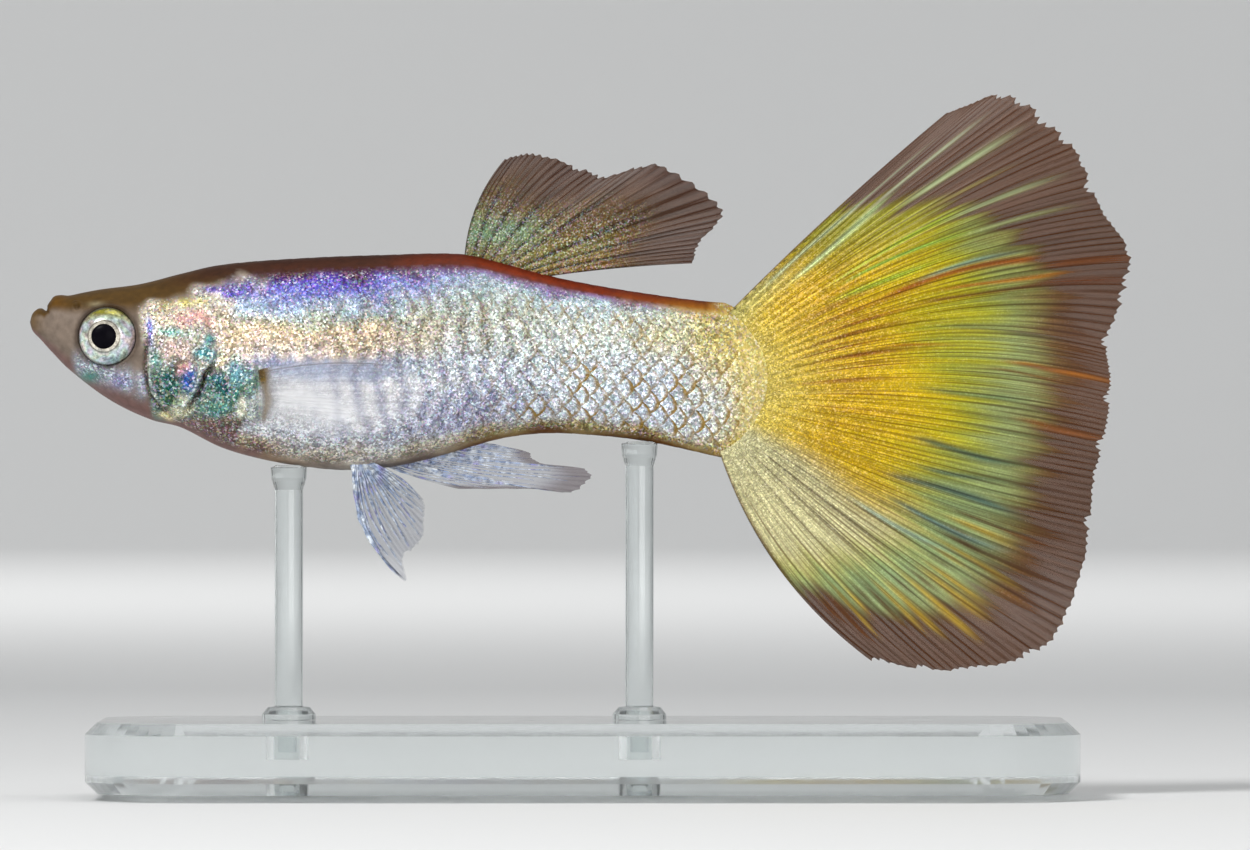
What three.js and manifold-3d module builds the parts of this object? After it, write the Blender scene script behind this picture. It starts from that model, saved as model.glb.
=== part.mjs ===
// A fancy guppy, an adult male with a large fan tail, held over a plain display stand at life size.
// Millimetres, +Z up. The head points along -X and the fish's left side faces -Y.
// Inside the fish group a place is (along, across, height): along runs back from the tip of the
// lower jaw, across runs from the middle plane, and height is over or under the body axis.
import * as THREE from 'three';
import Module from 'manifold-3d';
import { mergeVertices } from 'three/addons/utils/BufferGeometryUtils.js';

const wasm = await Module();
wasm.setup();

// Overall sizes
const TOTAL_LENGTH = 47;
const AXIS_HEIGHT = 18.3;
const GAP = 0.3;

// The body's outline: [along, height] of the back and of the belly
const BACK_LINE = [
  [0, 1.76], [0.1, 2.0], [0.43, 2.26], [0.85, 2.53], [1.3, 2.73], [1.9, 2.82], [3.0, 3.0], [4.7, 3.23],
  [6.4, 3.66], [8.1, 4.04], [11.5, 4.32], [15, 4.46], [18.3, 4.5], [20, 4.14], [21.5, 3.73], [23, 3.37],
  [26, 2.85], [29.3, 2.45], [32, 2.5],
];
const BELLY_LINE = [
  [0, 1.5], [0.1, 1.24], [0.43, 0.9], [0.85, 0.43], [1.7, -0.43], [3.4, -1.7], [5.1, -2.52], [6.4, -2.86],
  [8.1, -3.7], [9.8, -4.2], [11.5, -4.5], [13.2, -4.67], [14.9, -4.6], [16.6, -4.29], [18.3, -3.82],
  [20, -3.34], [21.7, -3.12], [23.4, -3.15], [26, -3.42], [29.1, -4.08], [32, -4.8],
];
// Half of the body's width, and the height at which it is widest
const HALF_WIDTH = [
  [0, 0.4], [0.1, 0.62], [0.43, 1.02], [0.85, 1.34], [1.7, 1.76], [3.4, 2.2], [5, 2.38], [7, 2.48],
  [9.8, 2.6], [13, 2.5], [16, 2.14], [19, 1.68], [22, 1.3], [25, 1.02], [28, 0.76], [30, 0.58], [32, 0.36],
];
const WIDEST_HEIGHT = [[0, 1.62], [2, 1.15], [4, 0.7], [8, 0.15], [13, -0.4], [18, 0], [24, -0.15], [32, -0.9]];
// 1 gives an oval section and less than 1 a fuller one
const BACK_FULLNESS = [[0, 0.8], [5, 0.84], [12, 0.95], [20, 1.08], [32, 1]];
const BELLY_FULLNESS = [[0, 0.9], [5, 0.95], [13, 0.92], [20, 1.08], [32, 1]];
const BODY_SIDES = 32;
// Edges shorter than this are closed up after a join or a cut
const FINEST_EDGE = 0.03;

// Where the flesh is parted
const GILL_EDGE = [
  [7.35, 5.5], [7.35, 3.2], [7.7, 1.4], [7.98, 0.25], [7.5, -0.7], [7.2, -1.3], [6.8, -1.9], [6.35, -2.5],
  [6.1, -4.5],
];
const GILL_COVER_RISE = 0.14;
const STALK_START = 21.8;
const STALK_END_CENTRE = [28.3, -0.85];
const STALK_END_RADIUS = 3.5;
const STALK_END_TOP = THREE.MathUtils.degToRad(66);
const STALK_END_BOTTOM = THREE.MathUtils.degToRad(-72);

// The head
const EYE_PLACE = [3.37, 1.78, 0.99];
const EYE_RADIUS = 1.25;
const EYE_DEPTH = 0.85;
const MOUTH_FRONT = [0.3, 2.82];
const MOUTH_CORNER = [1.3, 1.3];
const MOUTH_SLIT = 0.13;
const LIP_RADIUS = 0.17;
const NOSTRIL_PLACE = [2.05, 2.2];
const NOSTRIL_RADIUS = 0.15;
const CHEEK_CREASE = [[4.85, 1.1], [5.05, 0], [5.1, -1.2], [5.5, -1.75], [6.2, -2.2]];
const CREASE_RADIUS = 0.11;

// The fins: how thick the membrane is, how far the rays stand out of it, and where it thins out
const FIN_HALF_THICKNESS = 0.25;
const RAY_RISE = 0.09;
const THINNING_START = 0.62;
const MARGIN_SHARE = 0.3;
const COLUMNS_PER_RAY = 4;
const FORK_START = 0.35;
const FORK_END = 0.6;

// The stand
const BASE_LENGTH = 42;
const BASE_WIDTH = 18;
const BASE_THICKNESS = 3;
const BASE_CORNER = 4;
const BASE_CHAMFER = 0.5;
const ROD_RADIUS = 0.6;
const ROD_PLACES = { front: 11, rear: 25.9 };
const SOCKET_DEPTH = 1.6;

// Colours and finish
const FINISHES = {
  head: { color: 0x9c9478, roughness: 0.35, metalness: 0.3 },
  trunk: { color: 0xb4ab98, roughness: 0.35, metalness: 0.3 },
  tail_stalk: { color: 0xb39a5e, roughness: 0.38, metalness: 0.3 },
  eye: { color: 0xc9ccc0, roughness: 0.12, metalness: 0.4 },
  dorsal_fin: { color: 0xa99560, roughness: 0.42, metalness: 0.1 },
  tail_fin: { color: 0xbfa75a, roughness: 0.42, metalness: 0.1 },
  belly_fin: { color: 0xa7adb8, roughness: 0.42, metalness: 0.1 },
  side_fin: { color: 0xc8bfa8, roughness: 0.42, metalness: 0 },
  stand: { color: 0xe9ecec, roughness: 0.08, metalness: 0 },
};

// A smooth value along a row of [place, value] knots.
function smoothLine(knots) {
  const end = knots.length - 1;
  const slope = (index) => {
    const before = knots[Math.max(index - 1, 0)];
    const after = knots[Math.min(index + 1, end)];
    return (after[1] - before[1]) / (after[0] - before[0]);
  };
  return (place) => {
    let index = 0;
    while (index < end - 1 && place > knots[index + 1][0]) {
      index += 1;
    }
    const [start, startValue] = knots[index];
    const [stop, stopValue] = knots[index + 1];
    const span = stop - start;
    const t = THREE.MathUtils.clamp((place - start) / span, 0, 1);
    const ease = t * t * (3 - 2 * t);
    const leaving = slope(index) * span * t * (1 - t) * (1 - t);
    const arriving = slope(index + 1) * span * t * t * (1 - t);
    return startValue + (stopValue - startValue) * ease + leaving - arriving;
  };
}

const backAt = smoothLine(BACK_LINE);
const bellyAt = smoothLine(BELLY_LINE);
const halfWidthAt = smoothLine(HALF_WIDTH);
const widestAt = smoothLine(WIDEST_HEIGHT);
const backFullnessAt = smoothLine(BACK_FULLNESS);
const bellyFullnessAt = smoothLine(BELLY_FULLNESS);

// How far the body's side stands from the middle plane at a place along it and a height.
function flankAt(along, height) {
  const widest = widestAt(along);
  const above = height > widest;
  const reach = above ? backAt(along) - widest : widest - bellyAt(along);
  const fullness = above ? backFullnessAt(along) : bellyFullnessAt(along);
  const share = Math.min(Math.abs(height - widest) / reach, 1) ** (2 / fullness);
  return halfWidthAt(along) * (1 - share) ** (fullness / 2);
}

// The height of the belly's skin at a place along the body and a distance from the middle plane.
function undersideAt(along, across) {
  const fullness = bellyFullnessAt(along);
  const share = Math.min(Math.abs(across) / halfWidthAt(along), 1) ** (2 / fullness);
  const widest = widestAt(along);
  return widest - (widest - bellyAt(along)) * (1 - share) ** (fullness / 2);
}

// A number from 0 to 1 that is always the same for the same seed.
function seeded(seed) {
  const value = Math.sin(seed * 12.9898 + 4.1) * 43758.5453;
  return value - Math.floor(value);
}

// A closed geometry from points and triangles, turned so that its faces point outwards.
function closedGeometry(points, triangles) {
  const volume = triangles.reduce((sum, [a, b, c]) => {
    const cross = new THREE.Vector3().crossVectors(points[b], points[c]);
    return sum + points[a].dot(cross);
  }, 0);
  const order = volume > 0 ? triangles : triangles.map(([a, b, c]) => [a, c, b]);
  const geometry = new THREE.BufferGeometry().setFromPoints(points);
  geometry.setIndex(order.flat());
  return geometry;
}

function toSolid(geometry) {
  const bare = geometry.clone();
  bare.deleteAttribute('normal');
  bare.deleteAttribute('uv');
  const merged = mergeVertices(bare, 1e-4);
  const mesh = new wasm.Mesh({
    numProp: 3,
    vertProperties: new Float32Array(merged.attributes.position.array),
    triVerts: new Uint32Array(merged.index.array),
  });
  return new wasm.Manifold(mesh);
}

// The largest closed surface of a solid, so that a scrap left by a cut goes.
function largestBody(solid) {
  const bodies = solid.decompose();
  return bodies.reduce((best, body) => (body.volume() > best.volume() ? body : best));
}

function toMesh(name, solid, finish) {
  const { vertProperties, triVerts } = largestBody(solid).simplify(FINEST_EDGE).getMesh();
  const geometry = new THREE.BufferGeometry();
  geometry.setAttribute('position', new THREE.BufferAttribute(new Float32Array(vertProperties), 3));
  geometry.setIndex(Array.from(triVerts));
  geometry.computeVertexNormals();
  const mesh = new THREE.Mesh(geometry, new THREE.MeshStandardMaterial(FINISHES[finish]));
  mesh.name = name;
  return mesh;
}

// One closed ring of the body's skin.
function bodyRing(along, swelling) {
  const widest = widestAt(along);
  const halfWidth = halfWidthAt(along) + swelling;
  const ring = [];
  for (let side = 0; side < BODY_SIDES; side += 1) {
    const angle = (2 * Math.PI * side) / BODY_SIDES;
    const upward = Math.cos(angle);
    const sideways = Math.sin(angle);
    const above = upward > 0;
    const fullness = above ? backFullnessAt(along) : bellyFullnessAt(along);
    const reach = above ? backAt(along) - widest : widest - bellyAt(along);
    const height = widest + reach * Math.sign(upward) * Math.abs(upward) ** fullness;
    const across = halfWidth * Math.sign(sideways) * Math.abs(sideways) ** fullness;
    ring.push(new THREE.Vector3(along, across, height));
  }
  return ring;
}

// A solid skinned over rings of points, closed at both ends by a fan.
function loft(rings) {
  const sides = rings[0].length;
  const points = rings.flat();
  const triangles = [];
  for (let ring = 0; ring < rings.length - 1; ring += 1) {
    for (let side = 0; side < sides; side += 1) {
      const next = (side + 1) % sides;
      const a = ring * sides + side;
      const b = ring * sides + next;
      triangles.push([a, b, b + sides], [a, b + sides, a + sides]);
    }
  }
  for (const [ring, turned] of [[0, true], [rings.length - 1, false]]) {
    const middle = new THREE.Vector3();
    rings[ring].forEach((point) => middle.add(point));
    const centre = points.push(middle.divideScalar(sides)) - 1;
    for (let side = 0; side < sides; side += 1) {
      const a = ring * sides + side;
      const b = ring * sides + ((side + 1) % sides);
      triangles.push(turned ? [a, centre, b] : [a, b, centre]);
    }
  }
  return toSolid(closedGeometry(points, triangles));
}

function bodyLoft(stations, swellingAt = () => 0) {
  return loft(stations.map((along) => bodyRing(along, swellingAt(along))));
}

function evenStations(from, to, count) {
  return Array.from({ length: count + 1 }, (_, index) => from + ((to - from) * index) / count);
}

// A slab with an [along, height] outline that reaches across the whole fish.
function crossSlab(outline) {
  const reach = 6;
  const shape = new THREE.Shape(outline.map(([along, height]) => new THREE.Vector2(along, height)));
  const geometry = new THREE.ExtrudeGeometry(shape, { depth: 2 * reach, bevelEnabled: false });
  geometry.rotateX(Math.PI / 2);
  geometry.translate(0, reach, 0);
  return toSolid(geometry);
}

// A round tube with a flat start and end, along a row of points.
function tube(points, radius, steps) {
  const outline = new THREE.Shape();
  outline.absarc(0, 0, radius, 0, 2 * Math.PI);
  const path = new THREE.CatmullRomCurve3(points);
  return toSolid(new THREE.ExtrudeGeometry(outline, {
    extrudePath: path, steps, curveSegments: 4, bevelEnabled: false,
  }));
}

function ellipsoid([along, across, height], [long, wide, tall], segments) {
  const geometry = new THREE.SphereGeometry(1, segments, Math.round(segments * 0.6));
  geometry.rotateX(Math.PI / 2);
  geometry.scale(long, wide, tall);
  geometry.translate(along, across, height);
  return toSolid(geometry);
}

function gillEdge(shift) {
  const curve = new THREE.SplineCurve(GILL_EDGE.map(([along, height]) => new THREE.Vector2(along, height)));
  return curve.getPoints(22).map((point) => [point.x + shift, point.y]);
}

// The two lips follow the slanted mouth plane round the front of the snout.
function lip(lift) {
  const run = new THREE.Vector2(MOUTH_CORNER[0] - MOUTH_FRONT[0], MOUTH_CORNER[1] - MOUTH_FRONT[1]).normalize();
  const offset = new THREE.Vector2(-run.y, run.x).multiplyScalar(lift);
  const halfPath = [];
  for (const share of [0.42, 0.46, 0.55, 0.7, 0.82, 0.93]) {
    const along = THREE.MathUtils.lerp(MOUTH_FRONT[0], MOUTH_CORNER[0], share) + offset.x;
    const height = THREE.MathUtils.lerp(MOUTH_FRONT[1], MOUTH_CORNER[1], share) + offset.y;
    const across = flankAt(along, height) - LIP_RADIUS * 0.45;
    halfPath.push(new THREE.Vector3(along, Math.max(across, 0), height));
  }
  const left = halfPath.filter((point) => point.y > 0.05);
  const right = left.map((point) => new THREE.Vector3(point.x, -point.y, point.z));
  const front = new THREE.Vector3(left[0].x - 0.04, 0, left[0].z + 0.05);
  return tube([...right.reverse(), front, ...left], LIP_RADIUS, 18);
}

function mouthSlit() {
  const run = new THREE.Vector2(MOUTH_CORNER[0] - MOUTH_FRONT[0], MOUTH_CORNER[1] - MOUTH_FRONT[1]).normalize();
  const half = new THREE.Vector2(-run.y, run.x).multiplyScalar(MOUTH_SLIT / 2);
  const ahead = [MOUTH_FRONT[0] - run.x, MOUTH_FRONT[1] - run.y];
  return crossSlab([
    [ahead[0] + half.x, ahead[1] + half.y],
    [MOUTH_CORNER[0] + 0.1 * run.x, MOUTH_CORNER[1] + 0.1 * run.y],
    [ahead[0] - half.x, ahead[1] - half.y],
  ].reverse());
}

// A crease of the cheek, sunk by half of its tube in the skin of one side.
function cheekCrease(side) {
  const points = CHEEK_CREASE.map(([along, height]) => {
    const across = flankAt(along, height) + gillCoverSwelling(along);
    return new THREE.Vector3(along, side * across, height);
  });
  return tube(points, CREASE_RADIUS, 14);
}

function gillCoverSwelling(along) {
  return GILL_COVER_RISE * THREE.MathUtils.smoothstep(along, 4.6, 6.6);
}

function makeHead() {
  const stations = [0, 0.07, 0.2, 0.43, 0.7, 1, 1.35, 1.75, 2.2, 2.7, 3.2, 3.8, 4.4, 5, 5.6, 6.2, 6.8, 7.4, 8.05];
  const front = crossSlab([...gillEdge(0), [-3, -4.5], [-3, 5.5]].reverse());
  let head = bodyLoft(stations, gillCoverSwelling).intersect(front);
  head = head.add(lip(LIP_RADIUS * 0.9)).add(lip(-LIP_RADIUS * 0.9)).subtract(mouthSlit());
  for (const side of [-1, 1]) {
    const [along, across, height] = EYE_PLACE;
    const socketRadius = EYE_RADIUS + GAP;
    const socket = ellipsoid([along, side * across, height], [socketRadius, EYE_DEPTH + GAP, socketRadius], 24);
    const [nostrilAlong, nostrilHeight] = NOSTRIL_PLACE;
    const nostrilAcross = side * flankAt(nostrilAlong, nostrilHeight);
    const rim = ellipsoid([nostrilAlong, nostrilAcross, nostrilHeight], [0.28, 0.2, 0.24], 10);
    const pit = ellipsoid(
      [nostrilAlong - 0.02, nostrilAcross + side * 0.14, nostrilHeight + 0.05],
      [NOSTRIL_RADIUS, 0.26, NOSTRIL_RADIUS],
      8,
    );
    head = head.subtract(socket).add(rim).subtract(pit).subtract(cheekCrease(side));
  }
  return toMesh('head', head, 'head');
}

function makeTrunk() {
  const stations = [...evenStations(5.9, 9.9, 5), ...evenStations(10.9, STALK_START - GAP, 11)];
  const rear = crossSlab([...gillEdge(GAP * 1.15), [23, -5.5], [23, 5.5]]);
  let trunk = bodyLoft(stations).intersect(rear);
  for (const side of [-1, 1]) {
    const [along, height] = PECTORAL.pad;
    const place = [along, side * flankAt(along, height), height];
    trunk = trunk.add(ellipsoid(place, PECTORAL.padRadii, 14));
  }
  return toMesh('trunk', trunk, 'trunk');
}

// The point on the rounded end of the tail stalk, or further out by a gap.
function stalkEnd(angle, gap) {
  const radius = STALK_END_RADIUS + gap;
  return [STALK_END_CENTRE[0] + radius * Math.cos(angle), STALK_END_CENTRE[1] + radius * Math.sin(angle)];
}

function makeTailStalk() {
  const arc = evenStations(STALK_END_BOTTOM, STALK_END_TOP, 16).map((angle) => stalkEnd(angle, 0));
  const inside = crossSlab([[20, -9], ...arc, [20, 9]]);
  const stalk = bodyLoft(evenStations(STALK_START, 32, 13)).intersect(inside);
  return toMesh('tail_stalk', stalk, 'tail_stalk');
}

function makeEye(name, side) {
  const [along, across, height] = EYE_PLACE;
  const ball = ellipsoid([along, side * across, height], [EYE_RADIUS, EYE_DEPTH, EYE_RADIUS], 18);
  return toMesh(name, ball, 'eye');
}

// How far a ray stands out at a column: one crest near the root and two past its fork.
function rayCrest(column, out) {
  const single = [0, 0.45, 1, 0.45][column % COLUMNS_PER_RAY];
  const forked = [0, 1, 0.2, 1][column % COLUMNS_PER_RAY];
  return THREE.MathUtils.lerp(single, forked, THREE.MathUtils.smoothstep(out, FORK_START, FORK_END));
}

// A fin spread between guide rays. Each guide gives its tip's [along, height] and how far the ray
// bows to its left on the way out. rootAt(share) is the [along, height] of the root line, and
// acrossAt(share, out) is how far the middle of the membrane stands from the middle plane.
function makeFin(name, finish, { guides, rays, rows, rootAt, acrossAt, ragged, thickness = 1 }) {
  const knot = (value) => smoothLine(guides.map((guide, index) => [index / (guides.length - 1), guide[value]]));
  const tipAlong = knot(0);
  const tipHeight = knot(1);
  const bow = knot(2);
  const columns = rays * COLUMNS_PER_RAY;
  const points = [[], []];
  for (let column = 0; column <= columns; column += 1) {
    const share = column / columns;
    const root = new THREE.Vector2(...rootAt(share));
    const tip = new THREE.Vector2(tipAlong(share), tipHeight(share));
    const run = tip.clone().sub(root);
    const notch = ragged * (0.3 + seeded(column + rays)) * (1 - rayCrest(column, 1));
    tip.addScaledVector(run, -notch);
    const bend = new THREE.Vector2(-run.y, run.x).normalize().multiplyScalar(bow(share));
    const middle = root.clone().lerp(tip, 0.5).add(bend);
    const ray = new THREE.QuadraticBezierCurve(root, middle, tip);
    for (let row = 0; row <= rows; row += 1) {
      const out = row / rows;
      const place = ray.getPoint(out);
      const thinning = 1 - (1 - MARGIN_SHARE) * THREE.MathUtils.smoothstep(out, THINNING_START, 1);
      const edge = column === 0 || column === columns;
      const crest = edge ? 0.8 : rayCrest(column, out);
      const half = (FIN_HALF_THICKNESS + RAY_RISE * crest) * thinning * thickness;
      const across = acrossAt(share, out, place);
      points[0].push(new THREE.Vector3(place.x, across - half, place.y));
      points[1].push(new THREE.Vector3(place.x, across + half, place.y));
    }
  }
  return toMesh(name, membrane(points, columns, rows), finish);
}

// A closed sheet from two faces of the same grid, each split into the same triangles.
function membrane(faces, columns, rows) {
  const behind = faces[0].length;
  const at = (column, row) => column * (rows + 1) + row;
  const triangles = [];
  for (let column = 0; column < columns; column += 1) {
    for (let row = 0; row < rows; row += 1) {
      const [a, b] = [at(column, row), at(column + 1, row)];
      const [c, d] = [at(column + 1, row + 1), at(column, row + 1)];
      triangles.push([a, b, c], [a, c, d]);
      triangles.push([a + behind, c + behind, b + behind], [a + behind, d + behind, c + behind]);
    }
  }
  const rim = [];
  for (let column = 0; column < columns; column += 1) rim.push(at(column, 0));
  for (let row = 0; row < rows; row += 1) rim.push(at(columns, row));
  for (let column = columns; column > 0; column -= 1) rim.push(at(column, rows));
  for (let row = rows; row > 0; row -= 1) rim.push(at(0, row));
  rim.forEach((from, index) => {
    const to = rim[(index + 1) % rim.length];
    triangles.push([to, from, from + behind], [to, from + behind, to + behind]);
  });
  return toSolid(closedGeometry(faces.flat(), triangles));
}

// The tail fin: a fan from the stalk's rounded end, with soft folds that grow towards its margin
const TAIL_FIN = {
  rays: 20,
  rows: 12,
  ragged: 0.03,
  foldHeight: 0.75,
  folds: 2.6,
  guides: [
    [39.0, 10.55, 0.33], [41.7, 11.3, 0.29], [44.3, 9.2, 1.05], [45.5, 6.6, 1.8], [46.9, 4.1, 1.75],
    [45.9, 0.8, 2.3], [46.0, -0.9, 1.8], [45.8, -2.9, 1.0], [45.25, -5.45, -0.35], [44.9, -8.5, -0.9],
    [43.3, -12.2, -0.3], [39.5, -13.2, -0.6], [35.8, -12.85, -1.85],
  ],
};

function makeTailFin() {
  return makeFin('tail_fin', 'tail_fin', {
    ...TAIL_FIN,
    rootAt: (share) => stalkEnd(THREE.MathUtils.lerp(STALK_END_TOP, STALK_END_BOTTOM, share), GAP),
    acrossAt: (share, out) => {
      const fold = Math.sin(2 * Math.PI * (TAIL_FIN.folds * share + 0.25 * out));
      return TAIL_FIN.foldHeight * out ** 1.6 * fold;
    },
  });
}

// The dorsal fin: a tall front and a long trailing rear, set on the back over 3 mm
const DORSAL_FIN = {
  rays: 9,
  rows: 11,
  ragged: 0.035,
  base: [18.45, 21.4],
  lean: 0.5,
  guides: [
    [20.2, 8.6, 0.8], [21.45, 8.85, 0.58], [23.15, 8.3, 0.68], [24.65, 7.9, 0.22], [26.85, 8.33, 0.04],
    [29.5, 6.5, 0.28], [28.6, 5.1, 0.31], [28.15, 4.1, 0.2],
  ],
};

function makeDorsalFin() {
  return makeFin('dorsal_fin', 'dorsal_fin', {
    ...DORSAL_FIN,
    rootAt: (share) => {
      const along = THREE.MathUtils.lerp(...DORSAL_FIN.base, share);
      return [along, backAt(along) + GAP];
    },
    acrossAt: (share, out) => DORSAL_FIN.lean * out ** 2 * Math.sin(Math.PI * (1.5 * share + 0.1)),
  });
}

// The anal fin of a male: a slim pointed organ that trails back under the body
const ANAL_FIN = {
  rays: 5,
  rows: 10,
  ragged: 0.03,
  base: [15.4, 18.7],
  guides: [
    [18.3, -5.5, -0.19], [21.7, -5.5, -0.36], [23.1, -5.65, -0.23], [23.85, -5.05, -0.3], [23.6, -4.62, -0.2],
    [21.9, -4.42, -0.15], [21.4, -4.18, -0.04], [21.3, -3.98, 0.02], [21.0, -3.85, 0.05],
  ],
};

function makeAnalFin() {
  return makeFin('anal_fin', 'belly_fin', {
    ...ANAL_FIN,
    rootAt: (share) => {
      const along = THREE.MathUtils.lerp(...ANAL_FIN.base, share);
      return [along, bellyAt(along) - GAP];
    },
    acrossAt: () => 0,
  });
}

// The pelvic fins: a pair under the belly, each drawn out into one long point
const PELVIC_FIN = {
  rays: 5,
  rows: 10,
  ragged: 0.03,
  base: [13.7, 14.5],
  rootAcross: 0.8,
  spread: 0.6,
  guides: [
    [14.1, -7.1, -0.08], [15.95, -9.5, -1.4], [15.85, -8.4, -0.5], [16.6, -7.85, 0], [16.8, -6.6, 0],
    [16.75, -5.95, 0.35],
  ],
};

function makePelvicFin(name, side) {
  return makeFin(name, 'belly_fin', {
    ...PELVIC_FIN,
    rootAt: (share) => {
      const along = THREE.MathUtils.lerp(...PELVIC_FIN.base, share);
      return [along, undersideAt(along, PELVIC_FIN.rootAcross) - GAP * 1.3];
    },
    acrossAt: (share, out) => side * (PELVIC_FIN.rootAcross + PELVIC_FIN.spread * out),
  });
}

// The pectoral fins: clear fans that spread back from a fleshy pad on each flank
const PECTORAL = {
  rays: 8,
  rows: 7,
  ragged: 0.03,
  pad: [9.35, -1.6],
  padRadii: [0.42, 0.6, 1.35],
  root: [[10.1, -0.45], [10.25, -2.85]],
  flare: 1.5,
  guides: [
    [15.7, -0.1, 0.6], [16.75, -0.75, 0.47], [16.9, -1.6, 0.04], [16.35, -2.45, 0], [14.9, -3.15, 0],
    [12.75, -3.35, 0],
  ],
};

function makePectoralFin(name, side) {
  const rootAt = (share) => {
    const [top, bottom] = PECTORAL.root;
    return [THREE.MathUtils.lerp(top[0], bottom[0], share), THREE.MathUtils.lerp(top[1], bottom[1], share)];
  };
  return makeFin(name, 'side_fin', {
    ...PECTORAL,
    rootAt,
    acrossAt: (share, out) => {
      const stand = flankAt(...rootAt(share)) + GAP + FIN_HALF_THICKNESS + RAY_RISE;
      return side * (stand + PECTORAL.flare * out);
    },
  });
}

// The stand: a clear plate with two rods that end just under the belly
function makeBase() {
  const [long, wide] = [BASE_LENGTH / 2 - BASE_CHAMFER, BASE_WIDTH / 2 - BASE_CHAMFER];
  const shape = new THREE.Shape();
  shape.moveTo(long, -wide + BASE_CORNER);
  shape.absarc(long - BASE_CORNER, wide - BASE_CORNER, BASE_CORNER, 0, Math.PI / 2);
  shape.absarc(-long + BASE_CORNER, wide - BASE_CORNER, BASE_CORNER, Math.PI / 2, Math.PI);
  shape.absarc(-long + BASE_CORNER, -wide + BASE_CORNER, BASE_CORNER, Math.PI, 1.5 * Math.PI);
  shape.absarc(long - BASE_CORNER, -wide + BASE_CORNER, BASE_CORNER, 1.5 * Math.PI, 2 * Math.PI);
  const geometry = new THREE.ExtrudeGeometry(shape, {
    depth: BASE_THICKNESS - 2 * BASE_CHAMFER,
    bevelThickness: BASE_CHAMFER,
    bevelSize: BASE_CHAMFER,
    bevelSegments: 1,
    curveSegments: 6,
  });
  geometry.translate(0, 0, BASE_CHAMFER);
  let base = toSolid(geometry);
  for (const along of Object.values(ROD_PLACES)) {
    base = base.subtract(rod(along, ROD_RADIUS + GAP, BASE_THICKNESS - SOCKET_DEPTH, BASE_THICKNESS + 1));
  }
  return toMesh('stand_base', base, 'stand');
}

function rod(along, radius, bottom, top) {
  const geometry = new THREE.CylinderGeometry(radius, radius, top - bottom, 20);
  geometry.rotateX(Math.PI / 2);
  geometry.translate(along - TOTAL_LENGTH / 2, 0, (top + bottom) / 2);
  return toSolid(geometry);
}

function makeRod(name, along) {
  const bottom = BASE_THICKNESS - SOCKET_DEPTH + GAP;
  const top = AXIS_HEIGHT + Math.min(bellyAt(along - ROD_RADIUS), bellyAt(along + ROD_RADIUS)) - GAP;
  return toMesh(name, rod(along, ROD_RADIUS, bottom, top), 'stand');
}

const fish = new THREE.Group();
fish.position.set(-TOTAL_LENGTH / 2, 0, AXIS_HEIGHT);
fish.add(makeHead(), makeTrunk(), makeTailStalk());
fish.add(makeTailFin(), makeDorsalFin(), makeAnalFin());
for (const [label, side] of [['left', -1], ['right', 1]]) {
  fish.add(makeEye(`eye_${label}`, side));
  fish.add(makePelvicFin(`pelvic_fin_${label}`, side));
  fish.add(makePectoralFin(`pectoral_fin_${label}`, side));
}

const group = new THREE.Group();
group.add(fish, makeBase());
for (const [label, along] of Object.entries(ROD_PLACES)) {
  group.add(makeRod(`stand_rod_${label}`, along));
}

export default group;
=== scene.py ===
import math

import bmesh
import bpy
import numpy as np
from mathutils import Matrix, Vector


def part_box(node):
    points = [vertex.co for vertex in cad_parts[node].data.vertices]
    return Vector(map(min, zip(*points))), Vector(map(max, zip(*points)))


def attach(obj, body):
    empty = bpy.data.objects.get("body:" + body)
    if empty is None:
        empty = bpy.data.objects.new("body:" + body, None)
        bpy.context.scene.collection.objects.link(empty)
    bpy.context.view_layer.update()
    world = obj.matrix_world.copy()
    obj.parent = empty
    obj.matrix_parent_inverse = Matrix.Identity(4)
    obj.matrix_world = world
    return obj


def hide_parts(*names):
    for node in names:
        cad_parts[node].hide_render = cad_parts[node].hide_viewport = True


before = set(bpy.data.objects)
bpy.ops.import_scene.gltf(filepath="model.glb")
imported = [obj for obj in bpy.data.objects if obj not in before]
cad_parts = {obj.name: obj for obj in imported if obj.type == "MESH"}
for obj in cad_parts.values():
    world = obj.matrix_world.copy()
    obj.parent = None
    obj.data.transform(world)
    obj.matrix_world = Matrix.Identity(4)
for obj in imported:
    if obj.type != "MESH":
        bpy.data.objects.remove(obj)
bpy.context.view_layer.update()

# A fancy guppy on a clear display stand.
# Shapes are worked out in millimetres as (along, across, height): along runs back from the tip of
# the lower jaw, across from the middle plane with the left side negative, and height from the body axis.
MM = 0.001
JAW_TIP_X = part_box("head")[0][0]
EYE_LOW, EYE_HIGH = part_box("eye_left")
EYE_ALONG, EYE_ACROSS, EYE_HEIGHT = 3.37, 1.78, 0.99
EYE_RADIUS, EYE_BULGE = 1.27, 0.84
PUPIL_ALONG, PUPIL_RADIUS, PUPIL_DOME = 3.24, 0.54, 0.17
AXIS_Z = (EYE_LOW[2] + EYE_HIGH[2]) / 2 - EYE_HEIGHT * MM

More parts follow.
